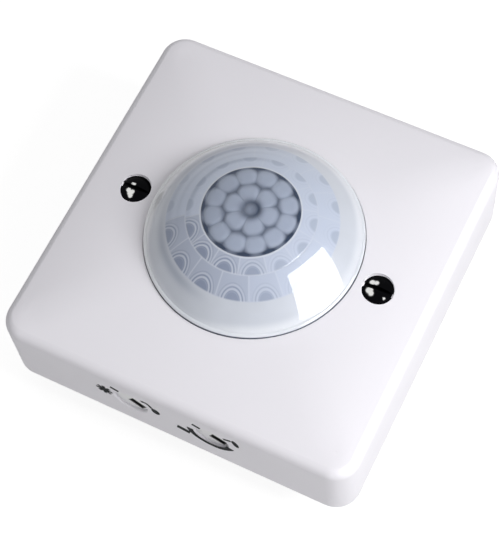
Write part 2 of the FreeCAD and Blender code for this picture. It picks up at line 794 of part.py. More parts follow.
def varistor():
    """The upright disc varistor on its short legs."""
    x, y = varistor_place
    z = board_top + varistor_lift + varistor_radius
    disc = rod_x(varistor_radius, x, x + varistor_thickness, y, z)
    middle = x + varistor_thickness / 2
    leg_ys = (y - varistor_radius / 2, y + varistor_radius / 2)
    legs = [rod(pin_radius, board_top, z - varistor_radius / 2, middle, leg_y) for leg_y in leg_ys]
    return one_solid(disc.multiFuse(legs))


def fuse_resistor():
    """The fusible resistor lying on the board."""
    x, y = fuse_place
    body = rod_y(fuse_radius, y - fuse_length / 2, y + fuse_length / 2, x, board_top + fuse_radius)
    return body.makeFillet(fuse_round, body.Edges)


def choke():
    """The drum choke: two flanges and the winding between them."""
    x, y = choke_place
    top = board_top + choke_height
    return one_solid(rod(choke_radius, board_top, board_top + choke_flange, x, y).multiFuse([
        rod(choke_core_radius, board_top, top, x, y),
        rod(choke_radius, top - choke_flange, top, x, y),
    ]))


def choke_winding():
    """The copper winding on the choke's core."""
    x, y = choke_place
    low = board_top + choke_flange
    high = board_top + choke_height - choke_flange
    return rod(choke_radius - winding_inset, low, high, x, y).cut(rod(choke_core_radius, low, high, x, y))


def leg_pair(centre, dx, dy):
    """The places of two legs, one on each side of a centre."""
    return [(centre[0] - dx, centre[1] - dy), (centre[0] + dx, centre[1] + dy)]


def solder_pins():
    """The cut ends of the component legs under the board."""
    film_centre = [p + s / 2 for p, s in zip(film_cap_place, film_cap_plan)]
    relay_centre = (relay_x + relay_length / 2, relay_y + relay_width / 2)
    relay_dx = relay_length / 2 - relay_leg_inset
    relay_dy = relay_width / 2 - relay_leg_inset
    places = leg_pair(film_centre, film_cap_plan[0] / 2 - film_cap_leg_inset, 0)
    places += leg_pair(smoothing_cap_place, smoothing_cap_legs / 2, 0)
    places += leg_pair(fuse_place, 0, fuse_length / 2)
    places += leg_pair(choke_place, choke_legs / 2, 0)
    places += leg_pair(relay_centre, relay_dx, relay_dy) + leg_pair(relay_centre, relay_dx, -relay_dy)
    pot_y = pot_front_y() + pot_depth / 2
    places += [(x + s * pot_width / 3, pot_y) for x in adjusters.values() for s in (-1, 0, 1)]
    return at(places, rod(pin_radius, board_z - pin_length, board_z))


def build():
    """Every node's name and shape."""
    nodes = {
        "front_housing": front_housing(),
        "rear_cover": rear_cover(),
        "lens": lens(),
        "lens_gasket": lens_gasket(),
        "lens_retaining_ring": lens_retaining_ring(),
        "sensor_hood": sensor_hood(),
        "main_board": main_board(),
        "cover_screws": cover_screws(),
        "board_screws": board_screws(),
        "ring_screws": ring_screws(),
        "fixing_screw_left": fixing_screw(-fixing_x),
        "fixing_screw_right": fixing_screw(fixing_x),
        "terminal_housing": terminal_housing(),
        "terminal_pillars": terminal_pillars(),
        "indicator_lamp": round_top(led_radius, led_height, eye_offset),
        "light_sensor": light_sensor(),
        "film_capacitor": block(film_cap_place, film_cap_plan + (part_height,), board_top),
        "smoothing_capacitor": smoothing_capacitor(),
        "varistor": varistor(),
        "fuse_resistor": fuse_resistor(),
        "choke_core": choke(),
        "choke_winding": choke_winding(),
        "bridge_rectifier": block(rectifier_place, rectifier_size, board_top),
        "controller_chip": block(controller_place, controller_size, board_top),
        "amplifier_chip": block(amplifier_place, amplifier_size, board_top),
        "solder_pins": solder_pins(),
    }
    for name, x in adjusters.items():
        nodes[name + "_knob"] = adjuster_knob(name, x)
        nodes[name + "_pot_body"] = pot_body(x)
        nodes[name + "_pot_rotor"] = pot_rotor(x)
    for number, x in enumerate(pole_xs, start=1):
        nodes["terminal_screw_%d" % number] = terminal_screw(x)
    nodes.update(relay_parts())
    nodes.update(sensor_parts())
    return nodes


os.makedirs("parts", exist_ok=True)
for node, shape in build().items():
    assert shape.isValid(), node
    shape.exportStep("parts/%s.step" % node)
    print("%-26s %2d solids %10.2f mm3" % (node, len(shape.Solids), shape.Volume))
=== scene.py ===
import json
import math
import bpy
import bmesh
import numpy as np
from mathutils import Matrix, Vector

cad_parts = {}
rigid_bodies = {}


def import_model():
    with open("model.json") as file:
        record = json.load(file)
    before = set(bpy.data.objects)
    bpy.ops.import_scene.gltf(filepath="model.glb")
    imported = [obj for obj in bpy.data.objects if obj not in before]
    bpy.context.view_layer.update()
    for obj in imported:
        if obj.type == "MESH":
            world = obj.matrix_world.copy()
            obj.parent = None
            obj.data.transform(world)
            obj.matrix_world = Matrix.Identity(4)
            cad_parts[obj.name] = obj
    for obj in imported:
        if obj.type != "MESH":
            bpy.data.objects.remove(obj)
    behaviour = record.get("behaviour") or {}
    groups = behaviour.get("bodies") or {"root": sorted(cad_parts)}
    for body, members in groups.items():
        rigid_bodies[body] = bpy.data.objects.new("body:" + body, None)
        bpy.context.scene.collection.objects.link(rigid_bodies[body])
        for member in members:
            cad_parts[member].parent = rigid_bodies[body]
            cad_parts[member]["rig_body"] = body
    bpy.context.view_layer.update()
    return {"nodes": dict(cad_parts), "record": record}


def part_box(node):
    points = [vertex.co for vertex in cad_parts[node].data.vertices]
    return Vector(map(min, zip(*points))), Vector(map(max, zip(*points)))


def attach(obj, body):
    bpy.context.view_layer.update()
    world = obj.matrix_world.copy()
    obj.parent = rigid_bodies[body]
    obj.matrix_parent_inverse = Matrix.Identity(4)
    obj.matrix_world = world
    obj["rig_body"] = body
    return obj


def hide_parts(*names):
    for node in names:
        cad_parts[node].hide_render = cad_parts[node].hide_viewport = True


bl_info = {
    "name": "Ceiling presence detector",
    "version": (1, 0, 0),
    "blender": (4, 5, 0),
    "location": "View3D > Sidebar > Detector",
    "description": "Dresses the CAD frame of a square ceiling presence detector",
    "category": "Object",
}

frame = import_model()
cad_nodes = frame["nodes"]

MM = 0.001

# The plate and its crowned face, in millimetres
HALF = 43.0
CORNER = 5.8                  # radius of the upright corners
EAVE = 20.3                   # height where the crowned face starts
CROWN_SPAN = 26.0             # from the side wall to where the face runs level
CROWN_SLOPE = math.radians(13)
CROWN_RADIUS = CROWN_SPAN / math.sin(CROWN_SLOPE)
CROWN_TOP = EAVE + CROWN_RADIUS * (1 - math.cos(CROWN_SLOPE))
HIP_START = 2.25              # from the side wall to where the hips start to blend
HIP_REACH = 4.0               # from there to where they are fully blended

# The lens, in millimetres and degrees
LENS_COLUMNS = 336            # 24 to a field of the inner ring, 21 to one of the outer ring
# Inner radius, outer radius, number of fields, and one border's direction
FIELD_RINGS = ((10.95, 14.45, 14, 207.3), (14.45, 19.2, 16, 271.6))
DISC_RADIUS = FIELD_RINGS[0][0]
FIELDS_EDGE = FIELD_RINGS[1][1]
GROOVES = np.array([DISC_RADIUS, FIELD_RINGS[1][0], FIELDS_EDGE])
GROOVE_DEPTH = 0.035          # the CAD's are 0.2 deep and look too sharp
LENSLET_RINGS = ((4.15, 6), (8.35, 12))   # distance from the middle, and number of lenslets
LENSLET_TURN = 2.5
LENSLET_REACH = 2.05          # how far a lenslet holds its own against the next
MIDDLE_REACH = 1.0
MIDDLE_RING = 1.6             # radius of the dark ring round the middle lenslet
LENSLETS_EDGE = 10.3
LENSLET_DEPTH = 0.45
RIM_BEAD = 0.7                # radius between the dome and its upright rim
FLANGE_WIDTH = 3.0
FLANGE_DEPTH = 1.2
PILLAR_X = 30.15              # the fixing screws' pillars, from the lens axis
PILLAR_ROOM = 4.7             # radius that the flange leaves free round them
NO_ZONE = 9.0                 # zone coordinates of faces outside the fields

# The fixing screws, in millimetres: half the slot's width, its depth, and the shank's radii
SLOT_HALF = 0.45
SLOT_DEPTH = 1.0
HEAD_RISE = 0.9
NECK = 1.35
THREAD_CORE = 1.43
THREAD_RISE = 0.32
# Painted highlights in a head, as patches of bright metal: place from its middle, and size
LEFT_GLINT_SPOTS = (
    (-1.26, -1.07, 0.8), (-0.2, -1.2, 0.8), (-0.2, -2.15, 0.8), (-0.55, -1.5, 1.05), (-1.15, 0.8, 0.46),
    (-0.6, 0.77, 0.5))
RIGHT_GLINT_SPOTS = (
    (-1.54, -1.05, 1.25), (-0.94, -1.6, 0.95), (-1.75, 0.95, 0.95), (-0.8, 1.15, 0.85), (2.1, -1.5, 0.5))

# The knobs' pointers: distance from the axis to the slot's middle, its depth, and directions at rest
POINTER_MIDDLE = 1.5
POINTER_DEPTH = 1.35
POINTER_TURNS = {"light_level": -35, "time_delay": -25}

# Finishes of the inner parts by material slot: name, colour, and their maker's other values
PLASTICS = {                  # size and depth of the grains in millimetres, roughness, IOR
    "gasket_foam": ("Closed-cell foam", "#3A3A3C", 0.5, 0.08, 0.85, 1.45),   # dull and pitted
    "inner_white": ("Moulded white nylon", "#E4E2DE", 0.3, 0.006, 0.45),     # satin, a little warm
    "hood_grey": ("Moulded grey ABS, matt", "#6E7379", 0.4, 0.012, 0.6),     # dull, without a highlight
    "pot_blue": ("Moulded blue nylon", "#3C66A8", 0.3, 0.005, 0.4),          # satin
    "relay_blue": ("Moulded blue polyester", "#2F5496", 0.3, 0.004, 0.3),    # glossy
    "film_yellow": ("Potted yellow box", "#E0B030", 0.4, 0.004, 0.3),        # glossy
    "can_black": ("Shrunk black sleeve", "#26272B", 0.6, 0.006, 0.3),        # glossy with soft waves
    "chip_black": ("Moulded black epoxy", "#242527", 0.25, 0.008, 0.6),      # dull and sandy
}
METALS = {                    # distance between marks in millimetres, roughness
    "small_screw_zinc": ("Zinc plate", "#C6C8CC", 0.4, 0.32),                # bluish, with a soft shine
    "terminal_brass": ("Turned brass", "#C8A45A", 0.3, 0.3),                 # yellow, with fine marks
    "tinned": ("Solder", "#CFCFCB", 0.6, 0.25),                              # bright and slightly warm
    "relay_iron": ("Plated iron", "#AFAFAC", 0.5, 0.35),                     # grey, with a soft shine
    "contact_silver": ("Stamped silver alloy", "#DCDCD8", 0.3, 0.25),        # bright
    "sensor_steel": ("Drawn steel can", "#D0CFCC", 0.7, 0.22),               # smooth and bright
}
COATS = {                     # roughness
    "window_silicon": ("Coated silicon filter", "#2B2930", 0.1),             # dark, with a sharp shine
    "light_cell": ("Cadmium sulphide cell", "#C98A4A", 0.35),                # orange under clear lacquer
    "varistor_blue": ("Dipped blue epoxy", "#3A5F9E"),                       # glossy and wavy
    "resistor_grey": ("Grey resistor lacquer", "#8E9194", 0.4),              # satin and wavy
    "ferrite": ("Sintered ferrite", "#3B3B3D", 0.55),                        # dark and dull
}

WIRE_PITCH = 0.5922           # of the windings as drawn, in millimetres

# The camera fitted to the photo: focal length in millimetres, place in metres, and its axes
CAMERA_LENS = 105.54
CAMERA_PLACE = (0.08823, -0.13759, 0.34321)
CAMERA_AXES = ((0.8946, -0.3778, 0.2386), (0.4429, 0.8203, -0.3618), (-0.0591, 0.4294, 0.9012))
FLOOR_REACH = 3.0
LAMP_AIM = (0, 0, 0.015)      # the detector's middle, in metres


def linear(code):
    """An sRGB hex value as linear red, green and blue."""
    parts = np.array([int(code[i:i + 2], 16) for i in (1, 3, 5)]) / 255
    curve = np.where(parts <= 0.04045, parts / 12.92, ((parts + 0.055) / 1.055) ** 2.4)
    return tuple(float(c) for c in curve)


def opaque(colour, level=1.0):
    """A linear colour at a level, with full alpha."""
    return tuple(c * level for c in colour) + (1.0,)


class LensSettings(bpy.types.PropertyGroup):
    dome_radius: bpy.props.FloatProperty(
        name="Dome radius", description="Outer radius of the dome", default=0.0291, unit="LENGTH")
    rim_radius: bpy.props.FloatProperty(
        name="Rim radius", description="Radius of the upright rim", default=0.0248, unit="LENGTH")
    wall: bpy.props.FloatProperty(
        name="Wall", description="Thickness of the moulding", default=0.001, unit="LENGTH")
    arc_pitch: bpy.props.FloatProperty(
        name="Arc pitch", description="Distance between the arcs of a field", default=0.00075, unit="LENGTH")
    field_colour: bpy.props.FloatVectorProperty(
        name="Fields", description="Milky plastic over the fields", subtype="COLOR",
        default=linear("#A6AEC1"))
    # Painted sheen: fields on the softbox's side are painted in this lighter tone, with their arcs faded
    haze_colour: bpy.props.FloatVectorProperty(
        name="Haze", description="Fields whose arcs are lost in the haze", subtype="COLOR",
        default=linear("#BEC7D9"))
    shade_colour: bpy.props.FloatVectorProperty(
        name="Arc shade", description="Shaded side of the arcs", subtype="COLOR", default=linear("#74809A"))
    line_colour: bpy.props.FloatVectorProperty(
        name="Borders", description="Raised borders between fields", subtype="COLOR",
        default=linear("#CBD0DB"))
    lenslet_colour: bpy.props.FloatVectorProperty(
        name="Lenslets", description="Middle of each lenslet", subtype="COLOR", default=linear("#9BA5B9"))
    gap_colour: bpy.props.FloatVectorProperty(
        name="Gaps", description="Dark gaps between the lenslets", subtype="COLOR", default=linear("#082544"))
    flank_colour: bpy.props.FloatVectorProperty(
        name="Flank", description="Plain outer part of the dome", subtype="COLOR", default=linear("#C7CCD6"))
    # The rim's whiter plastic, laid on most heavily on the left as painted glow
    rim_colour: bpy.props.FloatVectorProperty(
        name="Rim", description="Thick rim, where the milky plastic looks whiter", subtype="COLOR",
        default=linear("#F2F4F8"))


class HousingSettings(bpy.types.PropertyGroup):
    plastic_colour: bpy.props.FloatVectorProperty(
        name="Plastic", description="White of the housing", subtype="COLOR", default=linear("#E9E7ED"))
    cover_colour: bpy.props.FloatVectorProperty(
        name="Cover", description="White of the rear cover", subtype="COLOR", default=linear("#DFDEE2"))
    edge: bpy.props.FloatProperty(
        name="Edge", description="Width of the small bevels on moulded edges", default=0.00018, unit="LENGTH")


class ScrewSettings(bpy.types.PropertyGroup):
    head_radius: bpy.props.FloatProperty(
        name="Head radius", description="Radius of the fixing screws' heads", default=0.0036, unit="LENGTH")
    thread_pitch: bpy.props.FloatProperty(
        name="Pitch", description="Pitch of the M3.5 thread", default=0.0006, unit="LENGTH")
    dark_colour: bpy.props.FloatVectorProperty(
        name="Black nickel", description="Colour of the plate", subtype="COLOR", default=linear("#0C0C0E"))
    # Painted highlights: the bright metal of the patches beside the slots
    glint_colour: bpy.props.FloatVectorProperty(
        name="Painted glint metal", description="Where a driver rubbed", subtype="COLOR", default=linear("#DCDCDA"))


class KnobSettings(bpy.types.PropertyGroup):
    knob_colour: bpy.props.FloatVectorProperty(
        name="Knobs", description="White of the knobs", subtype="COLOR", default=linear("#E6E6E8"))
    # Painted shade: black in the slots, widened onto their lips as a pointer
    pointer_shade_colour: bpy.props.FloatVectorProperty(
        name="Pointers", description="Paint in the slots and on their lips", subtype="COLOR",
        default=linear("#0B0C0E"))
    pointer_length: bpy.props.FloatProperty(
        name="Pointer length", description="Length of the painted pointer", default=0.0039, unit="LENGTH")
    pointer_width: bpy.props.FloatProperty(
        name="Pointer width", description="Width of the painted pointer", default=0.0024, unit="LENGTH")
    edge: bpy.props.FloatProperty(
        name="Edge", description="Width of the small bevels on the knobs' edges", default=0.00006,
        unit="LENGTH", precision=5)


class MarkSettings(bpy.types.PropertyGroup):
    # The ink also draws painted shade along the tops of the adjusters' holes
    ink_colour: bpy.props.FloatVectorProperty(
        name="Ink", description="Black pad-printing ink", subtype="COLOR", default=linear("#101316"))
    film: bpy.props.FloatProperty(
        name="Ink film", description="How far the ink stands on the wall", default=0.00001, unit="LENGTH",
        precision=6)


class StageSettings(bpy.types.PropertyGroup):
    key_power: bpy.props.FloatProperty(
        name="Key", description="Power of the soft light from the right", default=1.1, unit="POWER")
    shine_power: bpy.props.FloatProperty(
        name="Shine", description="Power of the softbox that gloss reflects", default=3.7, unit="POWER")
    top_power: bpy.props.FloatProperty(
        name="Overhead", description="Power of the wide light overhead", default=3.9, unit="POWER")
    fill_power: bpy.props.FloatProperty(
        name="Fill", description="Power of each low light by the adjusters", default=0.11, unit="POWER")
    world_level: bpy.props.FloatProperty(
        name="Room light", description="Level of the even light from all round", default=0.3)
    floor_drop: bpy.props.FloatProperty(
        name="Floor", description="Depth of the floor under the back plane", default=0.0123, unit="LENGTH")


def add(tree, kind, inputs=None, **settings):
    """Adds a node with its settings, and sets or links its inputs. A node among the inputs is
    linked from its first output in use."""
    node = tree.nodes.new(kind)
    for name, value in settings.items():
        setattr(node, name, value)
    for key, value in (inputs or {}).items():
        if isinstance(value, bpy.types.Node):
            value = next(socket for socket in value.outputs if socket.enabled)
        if isinstance(value, bpy.types.NodeSocket):
            tree.links.new(value, node.inputs[key])
        else:
            node.inputs[key].default_value = value
    return node


def empty_tree(owner):
    """The emptied node tree of a new material or world."""
    owner.use_nodes = True
    owner.node_tree.nodes.clear()
    return owner.node_tree


def new_material(name):
    """A material, its empty node tree, and the piece's own coordinates in it."""
    material = bpy.data.materials.new(name)
    tree = empty_tree(material)
    return material, tree, add(tree, "ShaderNodeTexCoord").outputs["Object"]


def finish_material(tree, sockets, relief=None, depth=0.0, strength=1.0):
    """Ends a material with one Principled shader, whose uniform values sit on its own sockets,
    over a relief of a given depth in millimetres."""
    if relief is not None:
        bump = {"Height": relief, "Distance": depth * MM, "Strength": strength}
        sockets["Normal"] = add(tree, "ShaderNodeBump", bump)
    shader = add(tree, "ShaderNodeBsdfPrincipled", sockets)
    add(tree, "ShaderNodeOutputMaterial", {"Surface": shader})


def mottled(tree, place, colour, low, high, size, detail):
    """Patches of a size in millimetres, and a colour that wanders between two levels with them."""
    patches = add(tree, "ShaderNodeTexNoise", {"Vector": place, "Scale": 1 / (size * MM), "Detail": detail})
    tones = {0: patches, 6: opaque(colour, low), 7: opaque(colour, high)}
    return patches, add(tree, "ShaderNodeMix", tones, data_type="RGBA")


def moulded_plastic(name, colour, grain, depth, roughness, ior=1.53):
    """Injection-moulded plastic. The tool's spark-eroded texture softens the shine. Its grains
    are drawn about a third of a millimetre across, because real ones are too fine to show. The
    flow of the melt leaves faint tone changes some 30 mm long."""
    material, tree, place = new_material(name)
    tone = mottled(tree, place, colour, 0.975, 1.0, 30, 2.0)[1]
    texture = add(tree, "ShaderNodeTexNoise", {"Vector": place, "Scale": 1 / (grain * MM), "Detail": 1.0})
    finish_material(tree, {"Base Color": tone, "Roughness": roughness, "IOR": ior}, texture, depth)
    return material


def acetal_with_shade_pointer(settings, back):
    """White acetal, smoother and waxier to the eye than the housing, with a slot whose inside and
    lips are painted black: painted shade for the slot's depth, widened onto its lips so that it reads
    as a bold pointer. The piece's UV map is in millimetres along and across the pointer. Paint lies
    inside a box round the slot, as far back as the slot's floor, and its edge is 0.1 mm soft."""
    material, tree, place = new_material("Moulded white acetal, black pointer")
    grains, body = mottled(tree, place, settings.knob_colour, 0.975, 1.0, 0.3, 1.0)
    past = add(tree, "ShaderNodeUVMap", uv_map="pointer")
    half_size = (settings.pointer_length / 2 / MM, settings.pointer_width / 2 / MM, 0)
    steps = (("SUBTRACT", (POINTER_MIDDLE, 0, 0)), ("ABSOLUTE", (0, 0, 0)), ("SUBTRACT", half_size))
    for operation, value in steps:
        past = add(tree, "ShaderNodeVectorMath", {0: past, 1: value}, operation=operation)
    sides = add(tree, "ShaderNodeSeparateXYZ", {0: past}).outputs
    past = add(tree, "ShaderNodeMath", {0: sides["X"], 1: sides["Y"]}, operation="MAXIMUM")
    inside = add(tree, "ShaderNodeMapRange", {0: past, 1: 0.0, 2: 0.1, 3: 1.0, 4: 0.0})
    level = add(tree, "ShaderNodeSeparateXYZ", {0: place}).outputs["Y"]
    front = add(tree, "ShaderNodeMath", {0: level, 1: back}, operation="LESS_THAN")
    paint = add(tree, "ShaderNodeMath", {0: inside, 1: front}, operation="MULTIPLY")
    tones = {0: paint, 6: body, 7: opaque(settings.pointer_shade_colour)}
    tone = add(tree, "ShaderNodeMix", tones, data_type="RGBA")
    finish_material(tree, {"Base Color": tone, "Roughness": 0.35, "IOR": 1.48}, grains, 0.004)
    return material


def plated_metal(name, colour, streak, roughness):
    """Plated or drawn metal. Fine rolling and handling marks vary the roughness, so that
    reflections are bright but not clean. They are drawn about half a millimetre apart, coarse
    enough to show."""
    material, tree, place = new_material(name)
    marks = add(tree, "ShaderNodeTexNoise", {"Vector": place, "Scale": 1 / (streak * MM), "Detail": 4.0})
    rough = add(tree, "ShaderNodeMapRange", {0: marks, 1: 0.3, 2: 0.7, 3: roughness, 4: roughness + 0.12})
    sockets = {"Metallic": 1.0, "Base Color": opaque(colour), "Roughness": rough}
    finish_material(tree, sockets, marks, 0.003)
    return material


def wound_wire(name, colour, axis):
    """Enamelled copper wire in layers: even turns along the bobbin's axis, with a painted highlight on
    their crowns and painted shade between them. Real turns are half as far apart, which is too fine to show."""
    material, tree, place = new_material(name)
    # The texture runs through 20 radians for each unit of scaled length
    scale = 2 * math.pi / (20 * WIRE_PITCH * MM)
    turns = add(tree, "ShaderNodeTexWave", {"Vector": place, "Scale": scale}, bands_direction=axis).outputs[1]
    tones = {0: turns, 6: opaque(colour, 0.45), 7: opaque(colour)}
    tone = add(tree, "ShaderNodeMix", tones, data_type="RGBA")
    sockets = {"Metallic": 1.0, "Roughness": 0.28, "Coat Weight": 0.6, "Base Color": tone}
    finish_material(tree, sockets, turns, 0.05)
    return material


def dipped_coat(name, colour, roughness=0.3):
    """Dipped or sintered ceramic and lacquer: a slightly uneven skin with orange-peel waves
    about 0.8 mm long."""
    material, tree, place = new_material(name)
    peel, tone = mottled(tree, place, colour, 0.85, 1.1, 0.8, 2.0)
    sockets = {"Roughness": roughness, "IOR": 1.5, "Coat Weight": 0.3, "Base Color": tone}
    finish_material(tree, sockets, peel, 0.03)
    return material


def solder_resist(name, colour):
    """Green solder resist over copper. The lacquer is raised and brighter over the copper, which
    is drawn as straight lands 8 mm long and 1.4 mm wide with 1 mm between them."""
    material, tree, place = new_material(name)
    lands = add(tree, "ShaderNodeTexBrick", {
        "Vector": place, "Color1": opaque(colour, 1.5), "Color2": opaque(colour, 1.3),
        "Mortar": opaque(colour), "Scale": 1.0, "Mortar Size": 0.5 * MM, "Brick Width": 9 * MM,
        "Row Height": 2.4 * MM})
    # The factor is 1 between the lands and 0 on them, and the lands are the raised part
    raised = add(tree, "ShaderNodeMath", {0: 1.0, 1: lands.outputs["Fac"]}, operation="SUBTRACT")
    sockets = {"Roughness": 0.35, "IOR": 1.5, "Base Color": lands.outputs["Color"]}
    finish_material(tree, sockets, raised, 0.035)
    return material


def clear_resin(name, colour):
    """Tinted clear epoxy of a small lamp: a saturated body under a glossy skin, slightly clouded."""
    material, tree, place = new_material(name)
    tone = mottled(tree, place, colour, 0.8, 1.2, 2.5, 2.0)[1]
    finish_material(tree, {"Roughness": 0.12, "IOR": 1.55, "Transmission Weight": 0.5, "Base Color": tone})
    return material


def printed_ink(name, colour):
    """Pad-printing ink: a thin matt film, a little patchy over the plastic's texture."""
    material, tree, place = new_material(name)
    tone = mottled(tree, place, colour, 0.7, 1.6, 0.5, 3.0)[1]
    finish_material(tree, {"Roughness": 0.7, "IOR": 1.45, "Specular IOR Level": 0.1, "Base Color": tone})
    return material


def black_nickel_with_painted_glints(settings):
    """Black nickel plate on a steel screw. It is dark and glossy, with painted highlights beside the
    slot: patches of bright metal whose edges are ragged by about 0.3 mm."""
    material, tree, place = new_material("Worn black nickel plate")
    ragged = add(tree, "ShaderNodeTexNoise", {"Vector": place, "Scale": 1 / (0.3 * MM), "Detail": 3.0})
    worn = add(tree, "ShaderNodeAttribute", attribute_name="worn").outputs["Fac"]
    mask = add(tree, "ShaderNodeMath", {0: ragged, 1: 0.5, 2: worn}, operation="MULTIPLY_ADD")
    ramp = {0: mask, 1: 0.68, 2: 1.05, 3: 0.0, 4: 1.0}
    mask = add(tree, "ShaderNodeMapRange", ramp, interpolation_type="SMOOTHSTEP")
    tones = {0: mask, 6: opaque(settings.dark_colour), 7: opaque(settings.glint_colour)}
    tone = add(tree, "ShaderNodeMix", tones, data_type="RGBA")
    finish_material(tree, {"Metallic": 1.0, "Roughness": 0.24, "Base Color": tone}, ragged, 0.004)
    return material


def milky_polyethylene(settings):
    """Moulded milky polyethylene over a dark inside. The outside is polished, so the shine is
    crisp on a hazy body. The fields are cut on the inside and show through: round lenslets with
    dark gaps in the middle, and arcs about the middle of each field's outer edge around it."""
    material, tree, place = new_material("Milky moulded polyethylene")
    lenslet, gaps, border, clear, rim = (
        add(tree, "ShaderNodeAttribute", attribute_name=name).outputs["Fac"]
        for name in ("lenslet", "gaps", "border", "clear", "rim"))
    zone = add(tree, "ShaderNodeUVMap", uv_map="zone")
    distance = add(tree, "ShaderNodeVectorMath", {0: zone}, operation="LENGTH")
    level = add(tree, "ShaderNodeSeparateXYZ", {0: place}).outputs["Z"]
    flat = add(tree, "ShaderNodeVectorMath", {0: place, 1: (1 / MM, 1 / MM, 0)}, operation="MULTIPLY")
    reach = add(tree, "ShaderNodeVectorMath", {0: flat}, operation="LENGTH")
    lenslet_colour, gap_colour, field_colour, haze_colour, shade_colour, line_colour, rim_colour = (
        opaque(getattr(settings, name + "_colour"))
        for name in ("lenslet", "gap", "field", "haze", "shade", "line", "rim"))

    # By name: its easing, its source, two limits of the source, and what it runs between
    ramps = {
        "past_hollow": ("SMOOTHSTEP", distance, 1.45, 1.7, 0.0, 1.0),
        "fading": ("SMOOTHSTEP", distance, 2.4, 3.6, 1.0, 0.0),
        "hollow": ("SMOOTHSTEP", distance, 1.3, 1.8, 0.75, 0.0),
        "hollow_level": ("LINEAR", clear, 0.0, 1.0, 0.35, 1.0),
        "border": ("SMOOTHSTEP", border, 0.04, 0.26, 1.0, 0.0),
        "border_level": ("LINEAR", clear, 0.0, 1.0, 0.2, 0.55),
        "disc_line": ("LINEAR", reach, 11.15, 11.35, 0.9, 0.0),
        "fields": ("LINEAR", reach, 10.82, 10.96, 0.0, 1.0),
        "flank": ("LINEAR", reach, 19.14, 19.3, 0.0, 1.0),
        # Painted shadow: the gap colour darkens the lens low down, where it meets the plate
        "foot": ("LINEAR", level, 23.4 * MM, 23.7 * MM, 0.9, 0.0),
    }
    ramps = {
        name: add(tree, "ShaderNodeMapRange", dict(enumerate(values)), interpolation_type=easing)
        for name, (easing, *values) in ramps.items()}

    # The arcs are a cosine of the distance, in step at 2 mm, and show where the field is clear
    turns = 2 * math.pi * MM / settings.arc_pitch
    angle = add(tree, "ShaderNodeMath", {0: distance, 1: turns, 2: -2 * turns}, operation="MULTIPLY_ADD")
    arcs = add(tree, "ShaderNodeMath", {0: angle}, operation="COSINE")
    for factor in (ramps["past_hollow"], ramps["fading"], clear):
        arcs = add(tree, "ShaderNodeMath", {0: arcs, 1: factor}, operation="MULTIPLY")
    lit = add(tree, "ShaderNodeMapRange", {0: arcs, 1: 0.0, 2: 1.0, 3: 0.0, 4: 0.55})
    dim = add(tree, "ShaderNodeMapRange", {0: arcs, 1: 0.0, 2: -1.0, 3: 0.0, 4: 0.75})
    shade, edge = (
        add(tree, "ShaderNodeMath", {0: ramps[name], 1: ramps[name + "_level"]}, operation="MULTIPLY")
        for name in ("hollow", "border"))

    # Colours laid over one another, each by its own amount. Painted sheen: the fields start in the
    # lighter haze tone, which the clear attribute turns to the field tone and its arcs away from the
    # softbox. Outside the disc the gaps attribute lays the painted shade bands in the shade colour.
    flank = mottled(tree, place, settings.flank_colour, 0.9, 1.05, 9, 2.0)[1]
    # Painted glow: the rim attribute whitens the rim most on the left
    flank = add(tree, "ShaderNodeMix", {0: rim, 6: flank, 7: rim_colour}, data_type="RGBA")
    fields = haze_colour
    for amount, over in (
            (clear, field_colour), (shade, shade_colour), (dim, shade_colour), (lit, line_colour),
            (edge, line_colour), (ramps["disc_line"], line_colour), (ramps["flank"], flank),
            (gaps, shade_colour)):
        fields = add(tree, "ShaderNodeMix", {0: amount, 6: fields, 7: over}, data_type="RGBA")
    colour = lenslet_colour
    for amount, over in ((gaps, gap_colour), (ramps["fields"], fields), (ramps["foot"], gap_colour)):
        colour = add(tree, "ShaderNodeMix", {0: amount, 6: colour, 7: over}, data_type="RGBA")

    lenslets = add(tree, "ShaderNodeMath", {0: lenslet, 1: 0.3}, operation="MULTIPLY")
    relief = add(tree, "ShaderNodeMath", {0: arcs, 1: 0.03, 2: lenslets}, operation="MULTIPLY_ADD")
    sockets = {
        "Base Color": colour, "Roughness": 0.38, "IOR": 1.5, "Specular IOR Level": 0.12, "Coat Weight": 1.0,
        "Coat Roughness": 0.03, "Coat IOR": 1.5, "Subsurface Weight": 0.25, "Subsurface Scale": 1.2 * MM,
        "Subsurface Radius": (1.0, 1.0, 1.0)}
    finish_material(tree, sockets, relief, 1.0, 0.6)
    return material


def smooth(share):
    """Eases a share from 0 to 1: three times its square less twice its cube."""
    share = np.clip(share, 0, 1)
    return share * share * (3 - 2 * share)


def bell(value, middle, width):
    """1 at the middle, falling off to both sides as e to the minus square of the distance."""
    return np.exp(-((value - middle) / width) ** 2)


def apart(angle, degrees):
    """Degrees between an angle in radians and a direction in degrees, without a sign."""
    return np.abs(np.mod(np.degrees(angle) - degrees + 180, 360) - 180)


def make_piece(name, points, faces, material, body, replaced, sharp=35.0):
    """A smooth-shaded mesh object from points in millimetres, riding on a body."""
    mesh = bpy.data.meshes.new(name)
    mesh.from_pydata(np.asarray(points, float) * MM, [], faces)
    mesh.shade_smooth()
    mesh.set_sharp_from_angle(angle=math.radians(sharp))
    mesh.materials.append(material)
    piece = bpy.data.objects.new(name, mesh)
    bpy.context.scene.collection.objects.link(piece)
    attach(piece, body)
    if replaced:
        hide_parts(*replaced)
    return piece


def vertex_places(mesh):
    """A mesh's vertices in millimetres, one row each."""
    points = np.empty(len(mesh.vertices) * 3, np.float32)
    mesh.vertices.foreach_get("co", points)
    return points.reshape(-1, 3).astype(float) / MM


def set_attribute(mesh, name, values):
    """Gives each vertex one number for the material to read."""
    layer = mesh.attributes.new(name, "FLOAT", "POINT")
    layer.data.foreach_set("value", values.astype(np.float32))


